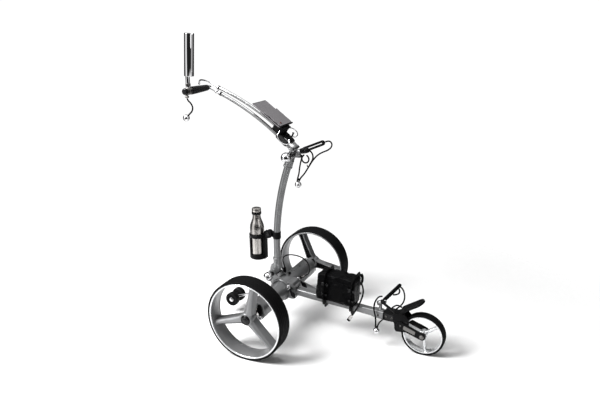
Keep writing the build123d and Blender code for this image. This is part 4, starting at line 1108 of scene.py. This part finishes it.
def arc_wall(cx, z0, z1, r0, r1, a0, a1, steps=32):
    """Upright curved wall between two angles."""
    rings = []
    for k in range(steps + 1):
        t = radians(a0 + (a1 - a0) * k / steps)
        c, s = cos(t), sin(t)
        rings.append([Vector((cx + r0 * c, r0 * s, z0)), Vector((cx + r1 * c, r1 * s, z0)),
            Vector((cx + r1 * c, r1 * s, z1)), Vector((cx + r0 * c, r0 * s, z1))])
    return loft(rings)


CUP_Z = 276
cage = [lathe([(0, 0.2), (35.4, 0.2), (36.8, 1.6), (37, 4), (36.8, 19), (35.6, 19.8), (34.4, 19.2),
    (34.2, 4), (0, 4)], (-118, 0, CUP_Z), UP, 80),
    arc_wall(-118, CUP_Z + 12, CUP_Z + 108, 34.1, 36.9, -25, 25),
    lathe([(34.1, 93.2), (35.4, 92.8), (37, 94.4), (37, 105.8), (35.6, 107), (34.1, 106.6)],
    (-118, 0, CUP_Z), UP, 80), arc_wall(-118, CUP_Z + 12, CUP_Z + 99, 34.2, 36.8, 118, 242),
    brick((-81.9, 0, CUP_Z + 62), (3.2, 27.6, 123), 1.2),
    brick((-73, -7, 389), (19, 9.6, 19.6), 2.4), drum(RATCHET, ACROSS, 17.4, -11.9, -4.4, 1.6, 4.0,
    56), drum(RATCHET, ACROSS, 4.0, -13, 13.8, 0.6)]
cage += ratchet_teeth(-2.6, 7.5)
for middle, gap in ((0, 10), (180, 16)):
    for k in range(5):
        t = middle + gap * (k - 2)
        cage.append(arc_wall(-118, CUP_Z + 13, CUP_Z + 98, 35.8, 37.0, t - 1.2, t + 1.2, 2))
add("bottle_cage", cage, "bottle_holder", "black", ["bottle_basket"], bevel=0.5, angle=45)
add("cage_knob",
    [lathe([(0, 15), (7, 15), (8.4, 13.6), (8.4, 12.6), (0, 12.6)], RATCHET, NEARWARD, 12)],
    "bottle_holder", "gloss", bevel=0.6)

BASE_Z = CUP_Z + 4.5
flask = lathe(
    [(p.x, p.y)
    for p in soften([(0, 0, 0), (27.4, 0, 0), (29.3, 2, 0), (29.45, 8, 0), (29.45, 126, 0),
    (28.4, 138, 0), (25.4, 148, 0), (21.4, 158, 0), (18.2, 167, 0), (16.8, 175, 0), (16.5, 186, 0),
    (0, 186, 0)], 3, 3, closed=False)], (-122, 0, BASE_Z), UP, 96)
add("flask_body", [flask], "bottle", "bottle", ["bottle"], angle=55)
add("flask_ring",
    [lathe([(16, 0), (19.4, 0.3), (20, 2), (20, 9.4), (19.3, 11.6), (16, 12)],
    (-122, 0, BASE_Z + 186), UP, 72)], "bottle", "gloss", angle=50)
cap = [lathe([(0, 15.1), (15.4, 14.8), (17.8, 13.6), (19.0, 10.8), (19.0, 4.4), (18.4, 3.8),
    (18.4, 2.6), (19.0, 2), (19.0, 0.1), (0, 0.1)], (-122, 0, BASE_Z + 198.3), UP, 96)]
add("flask_cap", cap, "bottle_cap", "bottle", ["bottle_cap"], angle=40)


# ---- handle ---------------------------------------------------------------------------------
def arc_point(angle, y=0.0, lift=0.0):
    """Point on the handle tubes' curve."""
    t = radians(angle)
    return Vector((-632 + (1005 + lift) * cos(t), y, 28 + (1005 + lift) * sin(t)))


def arc_way(angle):
    """Direction along the handle's curve, towards the grip."""
    t = radians(angle)
    return Vector((-sin(t), 0, cos(t)))


CROSS_AT, NEAR_AT, FAR_AT = 46.7, 67.4, 70.0   # degrees of the cross bar and the tubes' ends
frame_parts = []
for y, last in ((-26, NEAR_AT), (26, FAR_AT)):
    path = [arc_point(CROSS_AT + (last - CROSS_AT) * k / 24, y) for k in range(25)]
    frame_parts.append(sweep(path, circle(6.5, 28), up=ACROSS))
cross = arc_point(CROSS_AT)
frame_parts.append(brick(cross, (10, 71.6, 13), 2.4, tip(-CROSS_AT)))
for side in (-1, 1):
    frame_parts += [slab(capsule(ELBOW[::2], cross.xz, 7.9), side, 14.4, 19.5),
        drum(ELBOW, (0, side, 0), 11.9, 14.4, 19.5, 1.0, 4.2, 48),
        drum(cross + Vector((0, side * 30, 0)), (0, side, 0), 4.2, 5.2, 6.0, 0.3)]
add("handle_tubes", frame_parts, "handle", "polished", ["handle_frame"], bevel=0.6, angle=45)

near_end, far_end = arc_point(NEAR_AT, -26), arc_point(FAR_AT, 26)
near_way, far_way = arc_way(NEAR_AT), arc_way(FAR_AT)
bend = Vector((-302, -32, 981))
rods = [drum(near_end, near_way, 8.0, 19, 29, 2.4, 0, 40),
    ball(near_end + near_way * 24, 8.6, near_way, 36),
    sweep([near_end + near_way * 10, near_end + near_way * 22, bend], circle(4, 20)),
    drum(bend, ACROSS, 7.9, -7.4, 8.8, 1.6, 0, 36), drum(BAR, NEARWARD, 5, 32, 180, 0.5)]
wire_stay = smooth_path([far_end + far_way * 6, (-316, 26, 985), (-334, 25, 992.5),
    (-344, 16, 999), (-346, 0, 1004), (-341, -22, 1007.5), (-330, -48, 1009), (-318, -70, 1006),
    (-309, -84, 1000)], 6)
rods += [sweep(wire_stay, circle(3, 16)), drum(near_end, near_way, 7.4, 6, 14, 1.0, 0, 40),
    drum(far_end, far_way, 7.0, 6, 12, 1.0, 0, 40),
    drum(wire_stay[-1], wire_stay[-1] - wire_stay[-2], 4.2, -5, 0.2, 1.0, 0, 20)]
add("handle_rods_bright", rods, "handle", "chrome", ["handle_rods"], angle=50)
collars = [drum(near_end, near_way, 8.5, 0.3, 7, 1.4, 0, 40),
    drum(far_end, far_way, 8.0, 0.3, 7, 1.4, 0, 40)]
add("handle_collars", collars, "handle", "gloss", angle=50)

grip_profile = [(5.1, 0), (9.0, 0), (10.8, 1.2), (11.4, 4)]
for k in range(1, 24):         # swells towards the near end, with fine rings
    u = k / 24
    grip_profile.append((11.4 + 3.6 * u + 0.35 * sin(u * pi) + (0.35 if k % 2 else 0.0),
        4 + 102 * u))
grip_profile += [(15.2, 106), (14.4, 109.2), (12, 110), (5.1, 110)]
grip = add("foam_grip", [lathe(grip_profile, (-302, -40, 981), NEARWARD, 64)], "handle", "foam",
    ["grip"], angle=60)

hub = [drum(BAR, NEARWARD, 12.9, 172.2, 179.8, 1.4, 5.1, 56),
    brick((-302, -176, 965), (9.6, 5.8, 15.6), 1.8),
    drum((-302, -176, 961), (1, 0, 0), 4.4, -7, 7, 1.2, 0, 24)]
add("umbrella_hub", hub, "handle", "gunmetal", ["umbrella_clamp"], angle=45)
dial_parts = [lathe([(0, 11.4), (8, 11.4), (10.4, 10.8), (11.6, 9.4), (12.0, 7.6), (12.0, 1.2),
    (11.4, 0.2), (0, 0.2)], (-302, -180.4, 981), NEARWARD, 56)]
for angle in range(0, 360, 18):
    dial_parts.append(brick(around((-302, -184.8, 981), 12, angle), (1.7, 6.8, 1.9), 0.5,
        tip(-angle)))
dial_parts.append(brick((-302, -191.6, 987), (1.6, 0.6, 6), 0.25))
add("speed_knob", dial_parts, "speed_dial", "gloss", ["speed_dial"], angle=40)

LOW_U, HIGH_U = Vector((-297.5, -161, 1036)), Vector((-284.5, -161, 1191))
UMBRELLA_WAY = (HIGH_U - LOW_U).normalized()
reach = (HIGH_U - LOW_U).length
tube = [lathe([(16.95, 4), (16.95, reach - 0.8), (17.4, reach - 0.1), (18.2, reach - 0.2),
    (18.45, reach - 1), (18.45, 2.2), (17.6, 0.6), (15, 0), (0, 0), (0, 4)], LOW_U, UMBRELLA_WAY,
    96, loop=False)]
foot_u = LOW_U + Vector((-7.5, 0, 0)) + UMBRELLA_WAY * 2
tube.append(sweep([Vector((-305, -161, 990)), Vector((-305, -161, 1010)), foot_u], circle(8.4, 40),
    up=ACROSS))
eye = [drum(BAR, NEARWARD, 14, 151.7, 171.3, 1.6, 5.2, 64),
    drum((-304.6, -161, 1004), UP, 9.6, -5, 5, 1.2, 0, 48)]
add("umbrella_eye", eye, "umbrella_holder", "gunmetal", angle=45)
add("umbrella_holder_tube", tube, "umbrella_holder", "chrome", ["umbrella_tube"], angle=45)

# ---- score card holder --------------------------------------------------------------------------
CARD_LEAN = 36.2               # degrees
CARD_TILT = radians(CARD_LEAN)
CARD_FOOT = Vector((22, 0, 845))
CARD_UP = Vector((-cos(CARD_TILT), 0, sin(CARD_TILT)))
CARD_OUT = Vector((sin(CARD_TILT), 0, cos(CARD_TILT)))


def on_card(u, y, h):
    """Point on the card plate: u up the slope, y across, h above it."""
    return CARD_FOOT + CARD_UP * u + CARD_OUT * h + Vector((0, y, 0))


def card_sheet(outline, h0, h1, bow=0.0):
    """Thin plate on the card holder with an optional bow across it."""
    return loft([[on_card(u, y, h + bow * (1 - (y / 52) ** 2)) for u, y in outline]
        for h in (h0, h1)])


plate = [(p.x, p.y)
    for p in soften([(0.4, -52.2, 0), (143.6, -52.2, 0), (143.6, 52.2, 0), (0.4, 52.2, 0)], 6, 5)]
card_parts = [card_sheet(plate, -1.4, 0.6)]
for y in (-51.4, 51.4):
    card_parts.append(brick(on_card(72, y, 0.6), (138, 1.6, 1.7), 0.6, tip(CARD_LEAN)))
card_parts.append(brick(on_card(142.6, 0, 0.6), (1.6, 98, 1.7), 0.6, tip(CARD_LEAN)))
add("card_tray", card_parts, "handle", "card", ["card_plate"], bevel=0.5, angle=40)
leaf = [(2, -44), (6, -47)]
leaf += [(8 + 76 * k / 12, -48.6 + 2.2 * sin(k * 1.1)) for k in range(13)]
leaf += [(85 + 1.4 * sin(k * 0.9), -44 + 96 * k / 8) for k in range(9)]
leaf += [(82 - 76 * k / 12, 52.2 + 0.8 * cos(k * 1.3)) for k in range(13)]
leaf.append((2, 48))
clip_parts = [card_sheet(leaf, 4.4, 5.9), drum(on_card(3, 0, 5.2), ACROSS, 2.9, -42, 42, 0.5, 0,
    24)]
add("card_leaf", clip_parts, "card_clip", "card", ["card_clip"], bevel=0.35, angle=50)
rivet = [lathe([(0, 8.0), (2.8, 7.7), (4.8, 6.8), (5.4, 6.0), (0, 6.0)], on_card(15, -24, 0),
    CARD_OUT, 28)]
add("card_rivet", rivet, "card_clip", "rivet", angle=60)

add("card_hinge_strip", [brick(on_card(-0.4, 2, 4.2), (4.4, 99, 7.4), 1.6, tip(CARD_LEAN))],
    "handle", "rubber", bevel=0.5)
base = [brick(on_card(11, 0, -21), (43.6, 55.6, 37.6), 5, tip(CARD_LEAN)),
    brick(on_card(10, 0, -5), (47, 60, 5.6), 2, tip(CARD_LEAN))]
for y in (-20, -10, 0, 10, 20):
    base.append(brick(on_card(-10.6, y, -21), (2.2, 3.4, 30), 0.9, tip(CARD_LEAN)))
pads = []
for side in (-1, 1):
    y = side * 26
    path = [arc_point(47.9 + 3.4 * k / 6, y, 0.6) for k in range(7)]
    pads.append(sweep(path, box_section(20.6, 20.6, 7.5, 5), up=ACROSS, scale=lambda t: 1.0 - 0.10
        * abs(2 * t - 1) ** 6))
    foot = arc_point(50.2, y * 0.5, 5)
    base.append(brick(foot, (17.6, 25.6, 11.6), 3))
    for angle in (48.5, 50.8):
        base.append(drum(arc_point(angle, y, 0.6), arc_way(angle), 11.2, -1.6, 1.6, 0.7, 6.6, 40))
add("card_box", base, "handle", "black", ["card_base"], bevel=0.5, angle=45)
foam = add("card_pads", pads, "handle", "foam", levels=1)
wires = []
BAILS = [
    [(12, -30, 829), (6, -38, 812), (13, -42, 797), (30, -42, 784), (47, -38, 780), (53, -31, 786),
        (48, -25, 797)],
    [(24, 24, 832), (36, 33, 829), (48, 40, 818), (53, 40, 805), (46, 35, 796), (36, 28, 798)],
]
for route in BAILS:
    wires.append(sweep(smooth_path(route, 6), circle(2.0, 12)))
add("wire_bails", wires, "handle", "chrome")
pin = [drum((38, 27, 806), (0.3, 0.2, 0.9), 3.4, -8, 8, 1.2, 0, 24),
    drum((38, 27, 806), (0.3, 0.2, 0.9), 4.6, 6, 9, 1.2, 0, 24)]
add("bail_pin", pin, "handle", "gloss", angle=50)


# ---- battery bag ------------------------------------------------------------------------------
BEAM_TOP = 14.3                # of the beam above its centreline
BAG_MID = 243                  # middle of the bag along the beam
BAG_HIGH = 111
STRAPS = (199, 313)


def to_mm(co):
    """A point of the row frame in millimetres from under the axle."""
    return Vector(((co.x - AXLE_X) * 1000, co.y * 1000, co.z * 1000))


def divide(outline, step):
    """Closed outline as (x, y) pairs, its edges cut into runs of about one step."""
    out = []
    points = [(p.x, p.y) for p in outline]
    for (a, b), (c, d) in zip(points, points[1:] + points[:1]):
        n = max(1, round(hypot(c - a, d - b) / step))
        out += [(a + (c - a) * i / n, b + (d - b) * i / n) for i in range(n)]
    return out


def bag_point(u, y, h):
    """Point of the bag: u along the beam, y across, h above the beam's top."""
    return on_beam(u, y, BEAM_TOP + h)


def bag_body():
    """Soft box with a flap: lofted rounded sections, swollen between its straps by cloth."""
    section = divide(soften([(-82, -38.6, 0), (82, -38.6, 0), (82, 38.6, 0), (-82, 38.6, 0)], 11,
        5), 6)
    rings = []
    count = 22
    for k in range(count + 1):
        h = BAG_HIGH * k / count
        lean = 1.0 if h < 98 else 1.0 - 0.10 * ((h - 98) / 13) ** 2
        tuck = 1.0 if h > 10 else 0.96 + 0.04 * h / 10
        rings.append([bag_point(BAG_MID + a * lean * tuck, b * lean * tuck, h)
            for a, b in section])
    return loft(rings)


def swell(piece, hold, pressure, frames, limit):
    """Inflates a closed piece with cloth, holding the vertices that hold() names."""
    mesh = piece.data
    group = piece.vertex_groups.new(name="held")
    rest = [v.co.copy() for v in mesh.vertices]
    for v in mesh.vertices:
        weight = hold(v.co)
        if weight > 0:
            group.add([v.index], weight, "REPLACE")
    cloth = piece.modifiers.new("cloth", "CLOTH")
    settings = cloth.settings
    settings.quality = 6
    settings.mass = 0.25
    settings.use_pressure = True
    settings.uniform_pressure_force = pressure
    settings.tension_stiffness = 25
    settings.compression_stiffness = 12
    settings.bending_stiffness = 1.2
    settings.shrink_min = -0.05
    settings.vertex_group_mass = "held"
    settings.effector_weights.gravity = 0
    cloth.point_cache.frame_start = 1
    cloth.point_cache.frame_end = frames
    for f in range(1, frames + 1):
        scene.frame_set(f)
    depsgraph = bpy.context.evaluated_depsgraph_get()
    shaped = piece.evaluated_get(depsgraph).to_mesh()
    moved = [v.co.copy() for v in shaped.vertices]
    piece.evaluated_get(depsgraph).to_mesh_clear()
    piece.modifiers.remove(cloth)
    scene.frame_set(1)
    for v, start_, end_ in zip(mesh.vertices, rest, moved):
        step = end_ - start_
        if step.length > limit:
            step *= limit / step.length
        v.co = start_ + step


bag_bm = bag_body()
bmesh.ops.triangulate(bag_bm, faces=[f for f in bag_bm.faces if len(f.verts) > 4])
bag = add("bag_shell", [bag_bm], "chassis", "nylon")
for edge in bag.data.edges:
    edge.use_edge_sharp = False
remesh = bag.modifiers.new("even", "REMESH")
remesh.mode = "VOXEL"
remesh.voxel_size = 0.0045
depsgraph = bpy.context.evaluated_depsgraph_get()
even = bpy.data.meshes.new_from_object(bag.evaluated_get(depsgraph))
bag.modifiers.clear()
old = bag.data
bag.data = even
bpy.data.meshes.remove(old)


def bag_coords(co):
    """(u, y, h) of a bag vertex, in millimetres."""
    p = to_mm(co) - BEAM_FOOT
    return p.dot(ALONG), p.y, p.dot(OVER) - BEAM_TOP


def bag_hold(co):
    """How firmly a bag point is held: under the straps, on the beam and along the flap seam."""
    u, y, h = bag_coords(co)
    if min(abs(u - s) for s in STRAPS) < 13:
        return 1.0
    if h < 6 and abs(y) < 16:
        return 1.0
    if 84 < h < 88:
        return 0.85
    return 0.0


swell(bag, bag_hold, 3.0, 18, 0.0045)
for v in bag.data.vertices:
    u, y, h = bag_coords(v.co)
    wave = noise.noise(Vector((u * 0.060, y * 0.06, h * 0.012))) * 2.6
    wave += noise.noise(Vector((u * 0.10, y * 0.10 + 7, h * 0.06))) * 0.9
    crease = -1.6 * exp(-((h - 86 - 2.5 * sin(u * 0.045)) / 2.2) ** 2)
    away = (to_mm(v.co) - on_beam(BAG_MID, 0, 70)).normalized()
    held = min(1.0, min(abs(u - s) for s in STRAPS) / 16)
    v.co += away * ((wave * held + crease - 0.9) / 1000)
bag.data.polygons.foreach_set("use_smooth", [True] * len(bag.data.polygons))
smooth = bag.modifiers.new("fine", "SUBSURF")
smooth.levels = smooth.render_levels = 1
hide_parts("battery_bag")
if not bag.data.materials:
    bag.data.materials.append(FINISHES["nylon"])

straps = []
for u in STRAPS:
    loop_points = soften([(-40.6, -7, 0), (-40.6, 98, 0), (-31, 112.6, 0), (31, 112.6, 0),
        (40.6, 98, 0), (40.6, -7, 0), (17, -9, 0), (17, -30, 0), (-17, -30, 0), (-17, -9, 0)], 7,
        5)
    path = [bag_point(u, p.x, p.y) for p in loop_points]
    straps.append(sweep(path, box_section(1.8, 26, 0.8, 2), loop=True))
add("bag_straps", straps, "chassis", "webbing")
buckles = []
for u in STRAPS:
    for side in (-1, 1):
        for y, h, size, edge in ((41.6, 70, (29, 2.6, 15), 1.1), (42.2, 26, (24, 1.8, 9), 0.8)):
            buckles.append(brick(bag_point(u, side * y, h), size, edge, tip(BEAM_DROP)))
add("bag_buckles", buckles, "chassis", "gloss", bevel=0.4)
sleeve = smooth_path([(329, 35, 266), (334.5, 34, 254), (336.4, 28, 242), (335.8, 23, 233.4)], 6)
add("lead_sleeve", [sweep(sleeve, circle(4.8, 20), scale=lambda t: 1.25 - 0.3 * t)], "chassis",
    "webbing", angle=60)
piping = []
for h in (3, 88.5):
    outline = soften([(163.4, -37.9, 0), (322.6, -37.9, 0), (322.6, 37.9, 0), (163.4, 37.9, 0)],
        11, 6)
    path = [bag_point(x, y, h + sin(x * 0.06)) for x, y in divide(outline, 12)]
    piping.append(sweep(path, circle(1.5, 10), loop=True))
add("bag_piping", piping, "chassis", "webbing")

# ---- hidden pieces keep their CAD shape ---------------------------------------------------------
for node, finish in (("wheel_bearings", "steel"), ("drive_units", "alloy"),
        ("motor_controller", "case"), ("battery_pack", "case")):
    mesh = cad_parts[node].data
    mesh.materials.clear()
    mesh.materials.append(FINISHES[finish])
